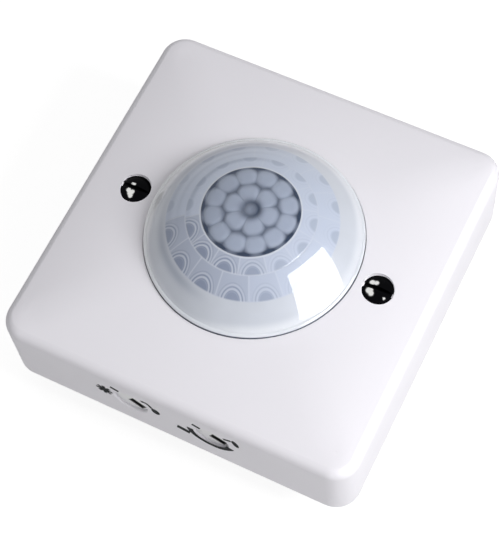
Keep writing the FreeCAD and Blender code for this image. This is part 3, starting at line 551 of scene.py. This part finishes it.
def set_corner_places(mesh, name, places):
    """Gives each corner of each face two coordinates for the material to read."""
    layer = mesh.uv_layers.new(name=name)
    layer.data.foreach_set("uv", places.astype(np.float32).ravel())


def grid_faces(rows, columns):
    """Quads of a grid that closes on itself round its columns. They face along the cross product
    of the row direction and the column direction."""
    i, j = np.meshgrid(np.arange(rows - 1), np.arange(columns), indexing="ij")
    k = (j + 1) % columns
    corners = (i * columns + j, (i + 1) * columns + j, (i + 1) * columns + k, i * columns + k)
    return np.stack(corners, axis=-1).reshape(-1, 4)


def pole_faces(pole, ring, forwards):
    """Triangles from one point to a closed ring of points."""
    after = np.roll(ring, -1)
    apex = np.full(len(ring), pole)
    pairs = (apex, ring, after) if forwards else (ring, apex, after)
    return np.stack(pairs, axis=-1)


def lenslet_cells(x, y):
    """The lenslets' height from 0 to 1, and how dark the gaps between them are. Each point belongs
    to the lenslet whose centre is nearest, less that lenslet's reach. Half the lead over the next
    lenslet, or over the disc's rim, is the distance to the gap. Darkness grows with the distance
    from the nearest centre, deepest where three cells meet, in a ring round the middle lenslet,
    and along the rim."""
    radius = np.hypot(x, y)
    # The pattern lies on the inside, so it's seen a little lower than the disc's rim
    sunk = 1 - (radius / LENSLETS_EDGE) ** 2
    x = x - 0.34 * sunk
    y = y + 0.44 * sunk
    centres = [np.zeros((1, 2))]
    for distance, count in LENSLET_RINGS:
        turn = np.radians(LENSLET_TURN) + np.arange(count) * 2 * np.pi / count
        centres.append(distance * np.stack([np.cos(turn), np.sin(turn)], axis=1))
    centres = np.concatenate(centres)
    reach = np.full(len(centres), LENSLET_REACH)
    reach[0] = MIDDLE_REACH
    away = np.hypot(x[..., None] - centres[:, 0], y[..., None] - centres[:, 1]) - reach
    to_rim = LENSLETS_EDGE - radius
    ranked = np.sort(np.concatenate([away, to_rim[..., None]], axis=-1), axis=-1)
    lead = (ranked[..., 1] - ranked[..., 0]) / 2
    height = 1 - np.clip(1 - lead / 1.3, 0, 1) ** 2

    middle = np.hypot(x, y)
    to_centre = away[..., 1:].min(axis=-1) + LENSLET_REACH
    depth = np.interp(middle, (4.5, 6.0, 8.6, 9.6), (1.1, 0.65, 0.65, 0.9))
    dark = depth * smooth((to_centre - 1.65) / 1.4) + 0.25 * bell(middle, 6.2, 0.6)
    dark = dark * np.clip((middle - MIDDLE_RING) / 1.2, 0, 1)
    # Painted shade: the ring round the middle lenslet is darker on the side towards the softbox
    lean = 0.85 + 0.15 * (0.9 * x + 0.44 * y) / np.maximum(middle, 0.1)
    ring = 0.98 * lean * bell(middle, MIDDLE_RING, 1.05)
    hub = lean * (0.5 + 0.48 * (middle / MIDDLE_RING) ** 2)
    dark = np.where(middle < MIDDLE_RING, hub, np.maximum(dark, ring)) + 0.4 * bell(radius, 10.4, 0.28)
    return height, np.clip(dark, 0, 1)


def border_distance(r, a):
    """Distance to the nearest border between two fields, or to the fields' inner or outer edge."""
    border = np.abs(r - DISC_RADIUS)
    for low, high, count, start in FIELD_RINGS:
        step = 2 * np.pi / count
        offset = np.mod(a - np.radians(start), step)
        to_side = r * np.minimum(offset, step - offset)
        nearest = np.clip(np.minimum(to_side, np.minimum(r - low, high - r)), 0, None)
        border = np.where((r >= low - 1e-6) & (r <= high + 1e-6), nearest, border)
    return np.where(r > FIELDS_EDGE, r - FIELDS_EDGE, border)


def arcs_clear_of_painted_sheen(r, a):
    """How clearly each field's arcs show, from the direction of its middle: well on the side away
    from the softbox, and lost all round it in painted sheen, where the fields take the lighter haze tone."""
    ring = np.array(FIELD_RINGS)[(r > FIELD_RINGS[1][0]).astype(int)]
    step = 360 / ring[..., 2]
    start = ring[..., 3]
    middle = np.mod(start + (np.floor((np.degrees(a) - start) / step + 0.01) + 0.5) * step, 360)
    return np.interp(middle, (0, 40, 150, 200, 212, 235, 265, 285, 305, 330, 360),
                     (0.15, 0.1, 0.05, 0.05, 0.85, 1.0, 1.0, 0.8, 0.45, 0.2, 0.15))


def painted_shade_bands(r, a):
    """Painted shade: soft darker bands at the rings' outer edges and on the flank, from the top round to
    the left, and one on the flank at the lower left."""
    upper = sum(level * bell(r, middle, width) for level, middle, width in (
        (0.5, 18.5, 0.8), (0.45, 13.8, 0.6), (0.35, 20.1, 0.8), (0.2, 16.3, 0.5)))
    upper = upper * np.clip(1.6 - apart(a, 150) / 45, 0, 1)
    return upper + 0.45 * bell(r, 20.3, 0.9) * np.clip(1.5 - apart(a, 232) / 25, 0, 1)


def rim_white_with_painted_glow(r, a):
    """The rim whitens outwards from a radius and up to a level that depend on the direction. The thick
    rim's whiter plastic is real, and the extra white on the left, where the light through the dome
    comes out, is painted glow."""
    turned = np.mod(np.degrees(a), 360)
    start = np.interp(
        turned, (0, 60, 105, 180, 215, 260, 290, 360), (22.2, 22.0, 20.8, 21.0, 22.8, 23.3, 22.4, 22.2))
    level = np.interp(
        turned, (0, 60, 110, 180, 200, 230, 260, 300, 360), (0.3, 0.5, 0.75, 1.0, 1.0, 0.55, 0.4, 0.5, 0.3))
    return level * smooth((r - start) / 1.5)


def zone_places(radius, angle, outer_count):
    """For each corner of each face of the dome's outside, millimetres from the middle of its
    field's outer edge: along the edge, and inwards."""
    row, column = np.meshgrid(np.arange(len(radius) - 1), np.arange(LENS_COLUMNS), indexing="ij")
    row = row[..., None] + np.array([0, 1, 1, 0])
    column = column[..., None] + np.array([0, 0, 1, 1])
    r = radius[row]
    a = angle[0] + column * 2 * np.pi / LENS_COLUMNS
    middle_r = r.mean(axis=-1, keepdims=True)
    middle_a = a.mean(axis=-1, keepdims=True)
    zone = np.full(r.shape + (2,), NO_ZONE)
    for low, high, count, start in FIELD_RINGS:
        step = 2 * np.pi / count
        field = np.floor((middle_a - np.radians(start)) / step)
        field_a = np.radians(start) + (field + 0.5) * step
        within = (middle_r > low) & (middle_r < high) & (row[..., :1] < outer_count)
        local = np.stack([high * (a - field_a), high - r], axis=-1)
        zone = np.where(within[..., None], local, zone)
    return zone.reshape(-1, 2)


def lens_profile(settings):
    """The closed section of the lens from its outer top to its inner top, as radii and heights in
    millimetres: a ball cap, a small round bead, the rim, the clamping flange, and the same again
    one wall further in. Shallow grooves circle the cap at the fields' borders."""
    low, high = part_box("lens")
    dome = settings.dome_radius / MM
    rim = settings.rim_radius / MM
    wall = settings.wall / MM
    centre = high.z / MM - dome
    base = low.z / MM
    step = base + FLANGE_DEPTH
    shoulder = rim - RIM_BEAD
    outer = np.concatenate([np.arange(0.15, DISC_RADIUS, 0.15), np.arange(DISC_RADIUS, shoulder, 0.3)])
    outer = outer[np.abs(outer[:, None] - GROOVES).min(axis=1) > 0.3]
    beside_grooves = GROOVES[:, None] + np.array([-0.24, -0.12, 0.0, 0.12, 0.24])
    outer = np.sort(np.concatenate([outer, beside_grooves.ravel(), [shoulder]]))
    grooves = GROOVE_DEPTH * bell(outer[:, None], GROOVES, 0.13).sum(axis=1)
    outer_z = centre + np.sqrt(dome ** 2 - outer ** 2) - grooves
    bend = np.radians(np.linspace(90, 0, 7))[1:]
    bead = shoulder + RIM_BEAD * np.cos(bend)
    bead_z = outer_z[-1] - RIM_BEAD + RIM_BEAD * np.sin(bend)
    flange = rim + FLANGE_WIDTH
    inside = rim - wall
    inner = np.arange(inside - RIM_BEAD, 0.3, -0.3)
    inner_z = centre + np.sqrt((dome - wall) ** 2 - inner ** 2)
    sides = np.array([
        (rim, step + 0.05), (rim, step), (flange - 0.1, step), (flange, step - 0.1),
        (flange, base + 0.1), (flange - 0.1, base), (inside, base), (inside, inner_z[0] - RIM_BEAD),
    ])
    radius = np.concatenate([outer, bead, sides[:, 0], inner])
    height = np.concatenate([outer_z, bead_z, sides[:, 1], inner_z])
    return radius, height, len(outer), len(radius) - len(inner)


def lens_piece(settings):
    """The section turned about the lens axis. The flange is cut back from the two screw pillars,
    and the lenslets stand in from the inner wall. Each vertex carries its lenslet's height, the
    darkness of gaps and of the painted shade bands, its distance to the nearest border, how clearly
    its field's arcs show through the painted sheen, and how white the rim is, with its painted glow."""
    radius, height, outer_count, inner_start = lens_profile(settings)
    rows = len(radius)
    angle = np.radians(FIELD_RINGS[0][3]) + np.arange(LENS_COLUMNS) * 2 * np.pi / LENS_COLUMNS
    r, a = np.meshgrid(radius, angle, indexing="ij")
    across = PILLAR_X * np.sin(a)
    reach = PILLAR_X * np.abs(np.cos(a)) - np.sqrt(np.clip(PILLAR_ROOM ** 2 - across ** 2, 0, None))
    r = np.where(np.abs(across) < PILLAR_ROOM, np.minimum(r, reach), r)
    x = r * np.cos(a)
    y = r * np.sin(a)
    lenslets = np.zeros_like(r)
    gaps = np.zeros_like(r)
    in_disc = radius < DISC_RADIUS
    lenslets[in_disc], gaps[in_disc] = lenslet_cells(x[in_disc], y[in_disc])
    inner = np.arange(rows)[:, None] >= inner_start
    z = height[:, None] - LENSLET_DEPTH * lenslets * inner

    points = np.concatenate([
        np.stack([x, y, z], axis=-1).reshape(-1, 3),
        [(0, 0, height[0] + 0.001), (0, 0, height[-1] + 0.001 - LENSLET_DEPTH)],
    ])
    first = np.arange(LENS_COLUMNS)
    last = first + (rows - 1) * LENS_COLUMNS
    tips = np.concatenate([
        pole_faces(rows * LENS_COLUMNS, first, True), pole_faces(rows * LENS_COLUMNS + 1, last, False),
    ])
    faces = grid_faces(rows, LENS_COLUMNS).tolist() + tips.tolist()
    piece = make_piece(
        "milky_lens", points, faces, milky_polyethylene(settings), "detector_body", ["lens"])
    # Outside the disc the gaps attribute carries the painted shade bands
    gaps = np.where(r > DISC_RADIUS, painted_shade_bands(r, a), gaps)
    for name, values, at_poles in (
            ("lenslet", lenslets, 1.0), ("gaps", gaps, 0.45), ("border", border_distance(r, a), 5.0),
            ("clear", arcs_clear_of_painted_sheen(r, a), 0.0), ("rim", rim_white_with_painted_glow(r, a), 0.0)):
        set_attribute(piece.data, name, np.append(values.ravel(), (at_poles, at_poles)))
    at_tips = np.full((len(tips) * 3, 2), NO_ZONE)
    set_corner_places(piece.data, "zone", np.concatenate([zone_places(radius, angle, outer_count), at_tips]))
    return piece


def merged_copy(node, name, material, edge, crowned=False):
    """A copy of a CAD node's mesh with its loose triangles joined, flats cleaned, sharp edges
    marked, and small bevels with weighted normals on top. A crowned one gets its soft hips."""
    source = cad_nodes[node]
    mesh = source.data.copy()
    mesh.name = name
    work = bmesh.new()
    work.from_mesh(mesh)
    bmesh.ops.remove_doubles(work, verts=work.verts, dist=1e-6)
    bmesh.ops.dissolve_limit(work, angle_limit=math.radians(0.4), verts=work.verts, edges=work.edges)
    if crowned:
        cut_crown(work)
    work.to_mesh(mesh)
    work.free()
    if crowned:
        soften_hips(mesh)
    mesh.shade_smooth()
    mesh.set_sharp_from_angle(angle=math.radians(28))
    mesh.materials.clear()
    mesh.materials.append(material)
    piece = bpy.data.objects.new(name, mesh)
    bpy.context.scene.collection.objects.link(piece)
    bevel = piece.modifiers.new("Moulded edges", "BEVEL")
    bevel.width = edge
    bevel.segments = 2
    bevel.limit_method = "ANGLE"
    bevel.angle_limit = math.radians(40)
    bevel.use_clamp_overlap = True
    weighted = piece.modifiers.new("Flat faces lead", "WEIGHTED_NORMAL")
    weighted.keep_sharp = True
    weighted.weight = 80
    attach(piece, source["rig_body"])
    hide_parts(node)
    return piece


def crown_height(inward):
    """The height of the crowned face at a distance from the side wall: an arc that runs level
    once it is the crown's span inwards."""
    lower = np.clip(CROWN_SPAN - inward, 0, None)
    return CROWN_TOP - CROWN_RADIUS + np.sqrt(CROWN_RADIUS ** 2 - lower ** 2)


def cut_crown(work):
    """Cuts the faces that look up at the crown's height into 2 mm strips from 18 mm out, and
    beside its diagonals."""
    parts = [f for f in work.faces if f.normal.z > 0.9 and f.calc_center_median().z > (EAVE - 0.1) * MM]
    parts += list({e for f in parts for e in f.edges}) + list({v for f in parts for v in f.verts})
    diagonal = math.sqrt(0.5)
    sides = ((1, 0), (-1, 0), (0, 1), (0, -1))
    cuts = [(normal, offset) for offset in np.arange(18, 41, 2.0) for normal in sides]
    cuts += [((diagonal, sign * diagonal), offset) for offset in (-4.1, -2.7, -1.3, 0.0, 1.3, 2.7, 4.1)
             for sign in (1, -1)]
    for (nx, ny), offset in cuts:
        parts = bmesh.ops.bisect_plane(
            work, geom=parts, dist=1e-7, plane_co=(nx * offset * MM, ny * offset * MM, 0),
            plane_no=(nx, ny, 0))["geom"]


def soften_hips(mesh):
    """Moves the crowned face's vertices onto a face whose four sides blend. Level lines of the
    face are squares with round corners, whose radius grows inwards from the rounded eaves to
    that of the upright corners and then stays."""
    points = vertex_places(mesh)
    x, y, z = points.T
    far, near = np.maximum(np.abs(x), np.abs(y)), np.minimum(np.abs(x), np.abs(y))
    straight = HALF - CORNER
    side = np.where(near > straight, straight + np.hypot(far - straight, near - straight), far)
    root = np.sqrt(np.clip(2 * CORNER ** 2 - (far - near) ** 2, 0, None))
    round_side = np.where(far - near < CORNER, CORNER + (far + near - root) / 2, far)
    blended = side + (round_side - side) * smooth((HALF - side - HIP_START) / HIP_REACH)
    on_face = np.abs(z - crown_height(HALF - side)) < 0.04
    points[:, 2] = np.where(on_face, crown_height(HALF - blended), z)
    mesh.vertices.foreach_set("co", (points * MM).astype(np.float32).ravel())
    mesh.update()


def slotted_head(radius, top):
    """The top of a slotted screw as rows straight across it. Heights follow a ball cap, less the
    slot's section: a flat floor, upright walls, and a small bevel at each lip."""
    ball = (radius ** 2 + HEAD_RISE ** 2) / (2 * HEAD_RISE)
    # Distance from the slot's middle and drop under the cap, where a drop of -1 stands for the floor
    side = np.array([0.0, 0.22, SLOT_HALF, SLOT_HALF + 0.0001, 0.49, 0.58, 0.62])
    drop = np.array([-1, -1, -1, 0.13, 0.05, 0.0, 0.0])
    rest = side[-1] + (radius - side[-1]) * np.sin(np.radians(np.linspace(0, 90, 13)))[1:]
    side = np.concatenate([side, rest])
    drop = np.concatenate([drop, np.zeros(len(rest))])
    y = np.concatenate([-side[:0:-1], side])[:, None]
    drop = np.concatenate([drop[:0:-1], drop])[:, None]
    s = np.sin(np.radians(np.linspace(-90, 90, 33)))
    x = s * np.sqrt(np.clip(radius ** 2 - y ** 2, 0, None))
    y = np.repeat(y, len(s), axis=1)
    z = np.where(drop < 0, top - SLOT_DEPTH, top - ball + np.sqrt(ball ** 2 - x ** 2 - y ** 2) - drop)
    return np.stack([x, y, z], axis=-1)


def screw_shank(rim, seat, tip, pitch):
    """The sides of the screw as rings below the rim: a 45 degree cone, a plain neck, and a thread
    whose radius follows a clipped triangle wave of height over pitch less the turn."""
    radius = np.hypot(rim[:, 0], rim[:, 1])
    turn = np.arctan2(rim[:, 1], rim[:, 0])
    head = radius.max()
    cone = np.linspace(head - 0.3, NECK, 5)
    threaded = np.arange(-0.62, tip + 0.02, -0.075)
    levels = np.concatenate([seat - (head - cone), [-0.55, -0.601], threaded, [tip]])
    fixed = np.concatenate([cone, [NECK, NECK + 0.02], np.zeros(len(threaded)), [1.2]])
    wave = np.abs(2 * np.mod(levels[:, None] / pitch - turn / (2 * np.pi), 1) - 1)
    thread = THREAD_CORE + THREAD_RISE * np.clip(1.2 * wave, 0, 1)
    thread = np.minimum(thread, 1.25 + (levels[:, None] - tip))
    ring = np.where(fixed[:, None] > 0, fixed[:, None], thread)
    x = ring * np.cos(turn)
    y = ring * np.sin(turn)
    z = np.repeat(levels[:, None], len(rim), axis=1)
    return np.concatenate([rim[None], np.stack([x, y, z], axis=-1)])


def fixing_screw(settings, side, glint_spots, material):
    """Head and shank joined along the rim, moved to the screw's place. The listed patches are painted
    highlights of bright metal.
    """
    node = "fixing_screw_" + side
    low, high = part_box(node)
    centre = (low.x + high.x) / 2 / MM
    tip = low.z / MM
    seat = high.z / MM - HEAD_RISE
    head = slotted_head(settings.head_radius / MM, high.z / MM)
    # The head's first and last rows have shrunk to a point each, and are kept as the two ends
    rows, columns = head.shape[0] - 2, head.shape[1]
    index = np.arange(rows * columns).reshape(rows, columns)
    ends = [rows * columns, rows * columns + 1]
    faces = np.stack([index[:-1, :-1], index[:-1, 1:], index[1:, 1:], index[1:, :-1]], axis=-1)
    one = np.full(columns - 1, ends[0])
    tips = np.concatenate([
        np.stack([one, index[0, 1:], index[0, :-1]], axis=-1),
        np.stack([index[-1, :-1], index[-1, 1:], one + 1], axis=-1),
    ])
    flat = np.concatenate([head[1:-1].reshape(-1, 3), head[0, :1], head[-1, :1]])
    # Once round the head's edge, from end to end and back. The shank's rings hang under it
    loop = np.concatenate([ends[:1], index[:, -1], ends[1:], index[::-1, 0]])
    shank = screw_shank(flat[loop], seat, tip, settings.thread_pitch / MM)
    shank_index = len(flat) + np.arange((len(shank) - 1) * len(loop)).reshape(-1, len(loop))
    shank_index = np.concatenate([loop[None], shank_index])
    after = np.roll(shank_index, -1, axis=1)
    wall = np.stack([shank_index[:-1], shank_index[1:], after[1:], after[:-1]], axis=-1)
    points = np.concatenate([flat, shank[1:].reshape(-1, 3), [(0, 0, tip)]])
    cap = pole_faces(len(points) - 1, shank_index[-1], False)
    faces = faces.reshape(-1, 4).tolist() + wall.reshape(-1, 4).tolist() + tips.tolist() + cap.tolist()
    piece = make_piece(
        "slotted_screw_" + side, points + (centre, 0, 0), faces, material, node, [node],
        30.0)
    worn = np.zeros(len(points))
    # Painted highlights, bright in patches round the listed places
    for x, y, size in glint_spots:
        away = np.hypot(points[:, 0] - x, points[:, 1] - y)
        worn = np.maximum(worn, np.clip(1.25 - away / size, 0, 1))
    set_attribute(piece.data, "worn", np.where(points[:, 2] > seat - 0.05, worn, 0))
    return piece


def pointer_places(mesh, middle, degrees):
    """Millimetres along and across a knob's pointer from the knob's axis, for each face corner."""
    corners = np.empty(len(mesh.loops), np.int32)
    mesh.loops.foreach_get("vertex_index", corners)
    x, _, z = vertex_places(mesh)[corners].T
    x = x - middle.x / MM
    z = z - middle.z / MM
    cos, sin = math.cos(math.radians(degrees)), math.sin(math.radians(degrees))
    return np.stack([x * cos + z * sin, z * cos - x * sin], axis=1)


def ribbon(path, width, front, back):
    """A flat bar standing on the -Y wall, as points and faces: a rectangle carried along (x, z)
    points, half its width to each side of the path's direction."""
    path = np.asarray(path, float)
    ahead = np.gradient(path, axis=0)
    ahead /= np.linalg.norm(ahead, axis=1)[:, None]
    left = np.stack([-ahead[:, 1], ahead[:, 0]], axis=1)
    half = (np.zeros(len(path)) + width)[:, None] / 2
    corners = []
    for sign, y in ((-1, front), (1, front), (1, back), (-1, back)):
        place = path + sign * half * left
        corners.append(np.stack([place[:, 0], np.full(len(path), y), place[:, 1]], axis=1))
    points = np.stack(corners, axis=1).reshape(-1, 3)
    last = (len(path) - 1) * 4
    ends = [(0, 1, 2, 3), (last + 3, last + 2, last + 1, last)]
    return points, np.concatenate([grid_faces(len(path), 4), ends])


def arc_path(centre, radius, start, end, count=24):
    """Points along part of a circle, from one angle in degrees to another."""
    angle = np.radians(np.linspace(start, end, count))
    return centre + radius * np.stack([np.cos(angle), np.sin(angle)], axis=1)


def blob_path(centre, length, width, tilt, count=15):
    """A bar's path and widths whose outline is an oval: the widths follow the root of 1 less the
    square of the way from the middle."""
    s = np.sin(np.radians(np.linspace(-88, 88, count)))
    ahead = np.array([math.cos(math.radians(tilt)), math.sin(math.radians(tilt))])
    return centre + s[:, None] * ahead * length / 2, width * np.sqrt(1 - s ** 2)


def joined(parts):
    """Several sets of points and quads as one."""
    points = np.concatenate([p for p, f in parts])
    starts = np.cumsum([0] + [len(p) for p, f in parts[:-1]])
    return points, np.concatenate([f + start for (p, f), start in zip(parts, starts)]).tolist()


def direct_rays(tree):
    """1 for rays from the camera and for those reflected or let through, and 0 for others."""
    path = add(tree, "ShaderNodeLightPath").outputs
    direct = path["Is Camera Ray"]
    for kind in ("Is Glossy Ray", "Is Transmission Ray"):
        direct = add(tree, "ShaderNodeMath", {0: direct, 1: path[kind]}, operation="MAXIMUM")
    return direct


def white_paper():
    """A sheet of white paper, lit from behind. It looks nearly white itself and in reflections,
    keeps the object's shadow, and throws little light back at the object."""
    material = bpy.data.materials.new("White paper")
    tree = empty_tree(material)
    paper = add(tree, "ShaderNodeBsdfDiffuse", {"Color": opaque(linear("#B3B3B3"))})
    faint = add(tree, "ShaderNodeBsdfDiffuse", {"Color": opaque(linear("#959595"))})
    glow = add(tree, "ShaderNodeEmission", {"Color": opaque(linear("#FFFFFF")), "Strength": 0.85})
    seen = add(tree, "ShaderNodeAddShader", {0: faint, 1: glow})
    both = add(tree, "ShaderNodeMixShader", {0: direct_rays(tree), 1: paper, 2: seen})
    add(tree, "ShaderNodeOutputMaterial", {"Surface": both})
    return material


def aimed_lamp(name, azimuth, elevation, roll, distance, size, power, kind):
    """A square lamp that looks at the detector, lights only what its kind says, and is turned
    about its own axis."""
    light = bpy.data.lights.new(name, "AREA")
    light.shape = "SQUARE"
    light.size = size
    light.energy = power
    lamp = bpy.data.objects.new(name, light)
    lamp.visible_diffuse = kind == "diffuse"
    lamp.visible_glossy = kind == "glossy"
    azimuth, elevation, roll = (math.radians(value) for value in (azimuth, elevation, roll))
    flat = math.cos(elevation)
    back = Vector((flat * math.cos(azimuth), flat * math.sin(azimuth), math.sin(elevation)))
    turned = back.to_track_quat("Z", "Y").to_matrix() @ Matrix.Rotation(roll, 3, "Z")
    lamp.matrix_world = Matrix.Translation(Vector(LAMP_AIM) + back * distance) @ turned.to_4x4()
    return lamp


class DETECTOR_OT_lens(bpy.types.Operator):
    """Make the milky lens with its lenslets, fields and arcs"""
    bl_idname = "detector.lens"
    bl_label = "Lens"

    def execute(self, context):
        lens_piece(context.scene.detector_lens)
        return {"FINISHED"}


class DETECTOR_OT_housing(bpy.types.Operator):
    """Make the moulded housing, the rear cover and the terminal block"""
    bl_idname = "detector.housing"
    bl_label = "Housing"

    def execute(self, context):
        settings = context.scene.detector_housing
        front = moulded_plastic("Moulded white ABS, satin", settings.plastic_colour, 0.35, 0.006, 0.55)
        back = moulded_plastic("Moulded white ABS, matt", settings.cover_colour, 0.3, 0.012, 0.55)
        nylon = moulded_plastic("Moulded grey nylon", linear("#9A9CA0"), 0.3, 0.008, 0.5)
        piece = merged_copy("front_housing", "moulded_housing", front, settings.edge, True)
        piece = merged_copy("rear_cover", "moulded_cover", back, settings.edge)
        piece = merged_copy("terminal_housing", "terminal_block", nylon, settings.edge)
        return {"FINISHED"}


class DETECTOR_OT_screws(bpy.types.Operator):
    """Make the two slotted fixing screws"""
    bl_idname = "detector.screws"
    bl_label = "Fixing screws"

    def execute(self, context):
        settings = context.scene.detector_screws
        material = black_nickel_with_painted_glints(settings)
        fixing_screw(settings, "left", LEFT_GLINT_SPOTS, material)
        fixing_screw(settings, "right", RIGHT_GLINT_SPOTS, material)
        return {"FINISHED"}


class DETECTOR_OT_adjusters(bpy.types.Operator):
    """Make the two slotted adjuster knobs"""
    bl_idname = "detector.adjusters"
    bl_label = "Adjusters"

    def execute(self, context):
        settings = context.scene.detector_adjusters
        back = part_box("light_level_knob")[0].y + POINTER_DEPTH * MM
        material = acetal_with_shade_pointer(settings, back)
        for name, degrees in POINTER_TURNS.items():
            piece = merged_copy(name + "_knob", name + "_dial", material, settings.edge)
            low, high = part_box(name + "_knob")
            set_corner_places(piece.data, "pointer", pointer_places(piece.data, (low + high) / 2, degrees))
        return {"FINISHED"}


class DETECTOR_OT_marks(bpy.types.Operator):
    """Print the sun, the dot and the round scale beside the adjusters, and paint shade in lines along the
    tops of their holes
    """
    bl_idname = "detector.marks"
    bl_label = "Printed marks"

    def execute(self, context):
        settings = context.scene.detector_marks
        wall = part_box("front_housing")[0].y / MM
        front = wall - settings.film / MM
        back = wall + 0.02
        # Places are millimetres along X and Z on the wall, and each bar ends in its width
        sun = np.array([-16.6, 11.5])
        turns = np.radians(np.arange(0, 360, 45))
        rays = np.stack([np.cos(turns), np.sin(turns)], axis=1)
        scale = arc_path((9.8, 11.4), 5.0, 178, 342)
        along = np.linspace(0, 1, len(scale))
        bars = [blob_path(sun, 2.2, 2.2, 0)]
        bars += [((sun + 0.9 * ray, sun + 2.05 * ray), 0.85) for ray in rays]
        bars += [
            # Round the light-level knob: a line and a curve of painted shade along the top of its hole, and
            # the printed dot
            (((-14.6, 15.1), (-12.6, 14.4)), 1.1),
            (((-7.0, 14.6), (-6.3, 14.9), (-5.6, 14.8), (-5.0, 14.1), (-4.4, 12.9)), 0.8),
            blob_path((-3.65, 11.9), 2.8, 2.1, 100),
            # Round the time knob: a printed dash and round scale, two lines of painted shade along the top of
            # its hole, and the printed mark at the end
            (((1.4, 8.9), (2.9, 8.6), (4.5, 8.2)), 1.9),
            (scale, np.interp(along, (0, 0.15, 0.5, 0.85, 1), (1.6, 1.6, 1.15, 1.3, 2.1))),
            (((5.6, 14.8), (7.5, 14.1)), 1.1),
            (((13.2, 14.1), (15.1, 15.0)), 0.8),
            blob_path((16.1, 14.2), 3.4, 1.5, 107),
        ]
        points, faces = joined([ribbon(path, width, front, back) for path, width in bars])
        ink = printed_ink("Pad-printed black ink", settings.ink_colour)
        make_piece("printed_marks", points, faces, ink, "detector_body", ())
        return {"FINISHED"}


class DETECTOR_OT_inner(bpy.types.Operator):
    """Give every carried-over CAD node its own finish"""
    bl_idname = "detector.inner"
    bl_label = "Inner parts"

    def execute(self, context):
        copper = linear("#B8683A")
        finishes = {
            "board_green": solder_resist("Green solder resist", linear("#2E6B45")),
            "winding_copper": wound_wire("Enamelled copper wire, upright", copper, "Z"),
            "lamp_red": clear_resin("Tinted red epoxy", linear("#C4281C")),
        }
        for make, rows in ((moulded_plastic, PLASTICS), (plated_metal, METALS), (dipped_coat, COATS)):
            for slot, (name, code, *values) in rows.items():
                finishes[slot] = make(name, linear(code), *values)
        lying = {"relay_coil": wound_wire("Enamelled copper wire, lying", copper, "X")}
        for part in frame["record"]["subparts"]:
            node = cad_nodes[part["node"]]
            if not node.hide_render:
                node.data.materials.clear()
                node.data.materials.append(lying.get(part["node"], finishes[part["material_slot"]]))
        return {"FINISHED"}


class DETECTOR_OT_stage(bpy.types.Operator):
    """Set up the pale floor, the five lamps, the room light and the camera"""
    bl_idname = "detector.stage"
    bl_label = "Stage"

    def execute(self, context):
        settings = context.scene.detector_stage
        scene = context.scene
        mesh = bpy.data.meshes.new("floor")
        sides = ((-1, -1), (1, -1), (1, 1), (-1, 1))
        corners = [(x * FLOOR_REACH, y * FLOOR_REACH, -settings.floor_drop) for x, y in sides]
        mesh.from_pydata(corners, [], [(0, 1, 2, 3)])
        mesh.materials.append(white_paper())
        floor = bpy.data.objects.new("floor", mesh)
        scene.collection.objects.link(floor)

        # White to look at and in reflections, and soft on the object
        scene.world = bpy.data.worlds.new("Room")
        tree = empty_tree(scene.world)
        ramp = {0: direct_rays(tree), 1: 0.0, 2: 1.0, 3: settings.world_level, 4: 1.0}
        level = add(tree, "ShaderNodeMapRange", ramp)
        sky = add(tree, "ShaderNodeBackground", {"Color": opaque(linear("#FFFFFF")), "Strength": level})
        add(tree, "ShaderNodeOutputWorld", {"Surface": sky})

        # Name, azimuth, elevation and roll in degrees, distance and size in metres, power, kind of light
        for lamp in (
                ("key", 0, 40, 0, 0.4, 0.15, settings.key_power, "diffuse"),
                ("softbox", -4, 20, -19, 0.4, 0.32, settings.shine_power, "glossy"),
                ("overhead", 0, 90, 0, 1.5, 1.2, settings.top_power, "diffuse"),
                ("low_front", -78, 6, 0, 0.35, 0.12, settings.fill_power, "diffuse"),
                ("low_corner", -50, 12, 0, 0.35, 0.2, settings.fill_power, "diffuse")):
            scene.collection.objects.link(aimed_lamp(*lamp))

        camera = bpy.data.cameras.new("camera")
        camera.lens = CAMERA_LENS
        camera.sensor_width = 36.0
        camera.clip_start = 0.01
        camera.clip_end = 20.0
        eye = bpy.data.objects.new("camera", camera)
        eye.matrix_world = Matrix.Translation(CAMERA_PLACE) @ Matrix(CAMERA_AXES).to_4x4()
        scene.collection.objects.link(eye)
        scene.camera = eye
        scene.view_settings.view_transform = "Standard"
        return {"FINISHED"}


OPERATORS = (
    DETECTOR_OT_lens, DETECTOR_OT_housing, DETECTOR_OT_screws, DETECTOR_OT_adjusters, DETECTOR_OT_marks,
    DETECTOR_OT_inner, DETECTOR_OT_stage,
)
GROUPS = {
    "detector_lens": LensSettings,
    "detector_housing": HousingSettings,
    "detector_screws": ScrewSettings,
    "detector_adjusters": KnobSettings,
    "detector_marks": MarkSettings,
    "detector_stage": StageSettings,
}


class DETECTOR_PT_pieces(bpy.types.Panel):
    """Lists the pieces of the detector and the stage"""
    bl_idname = "DETECTOR_PT_pieces"
    bl_label = "Presence detector"
    bl_space_type = "VIEW_3D"
    bl_region_type = "UI"
    bl_category = "Detector"

    def draw(self, context):
        for operator in OPERATORS:
            self.layout.operator(operator.bl_idname)


def register():
    for cls in (*GROUPS.values(), *OPERATORS, DETECTOR_PT_pieces):
        bpy.utils.register_class(cls)
    for name, group in GROUPS.items():
        setattr(bpy.types.Scene, name, bpy.props.PointerProperty(type=group))


def unregister():
    for name in GROUPS:
        delattr(bpy.types.Scene, name)
    for cls in (DETECTOR_PT_pieces, *reversed(OPERATORS), *reversed(GROUPS.values())):
        bpy.utils.unregister_class(cls)


def main():
    register()
    bpy.ops.detector.lens()
    bpy.ops.detector.housing()
    bpy.ops.detector.screws()
    bpy.ops.detector.adjusters()
    bpy.ops.detector.marks()
    bpy.ops.detector.inner()
    bpy.ops.detector.stage()


if __name__ == "__main__":
    main()
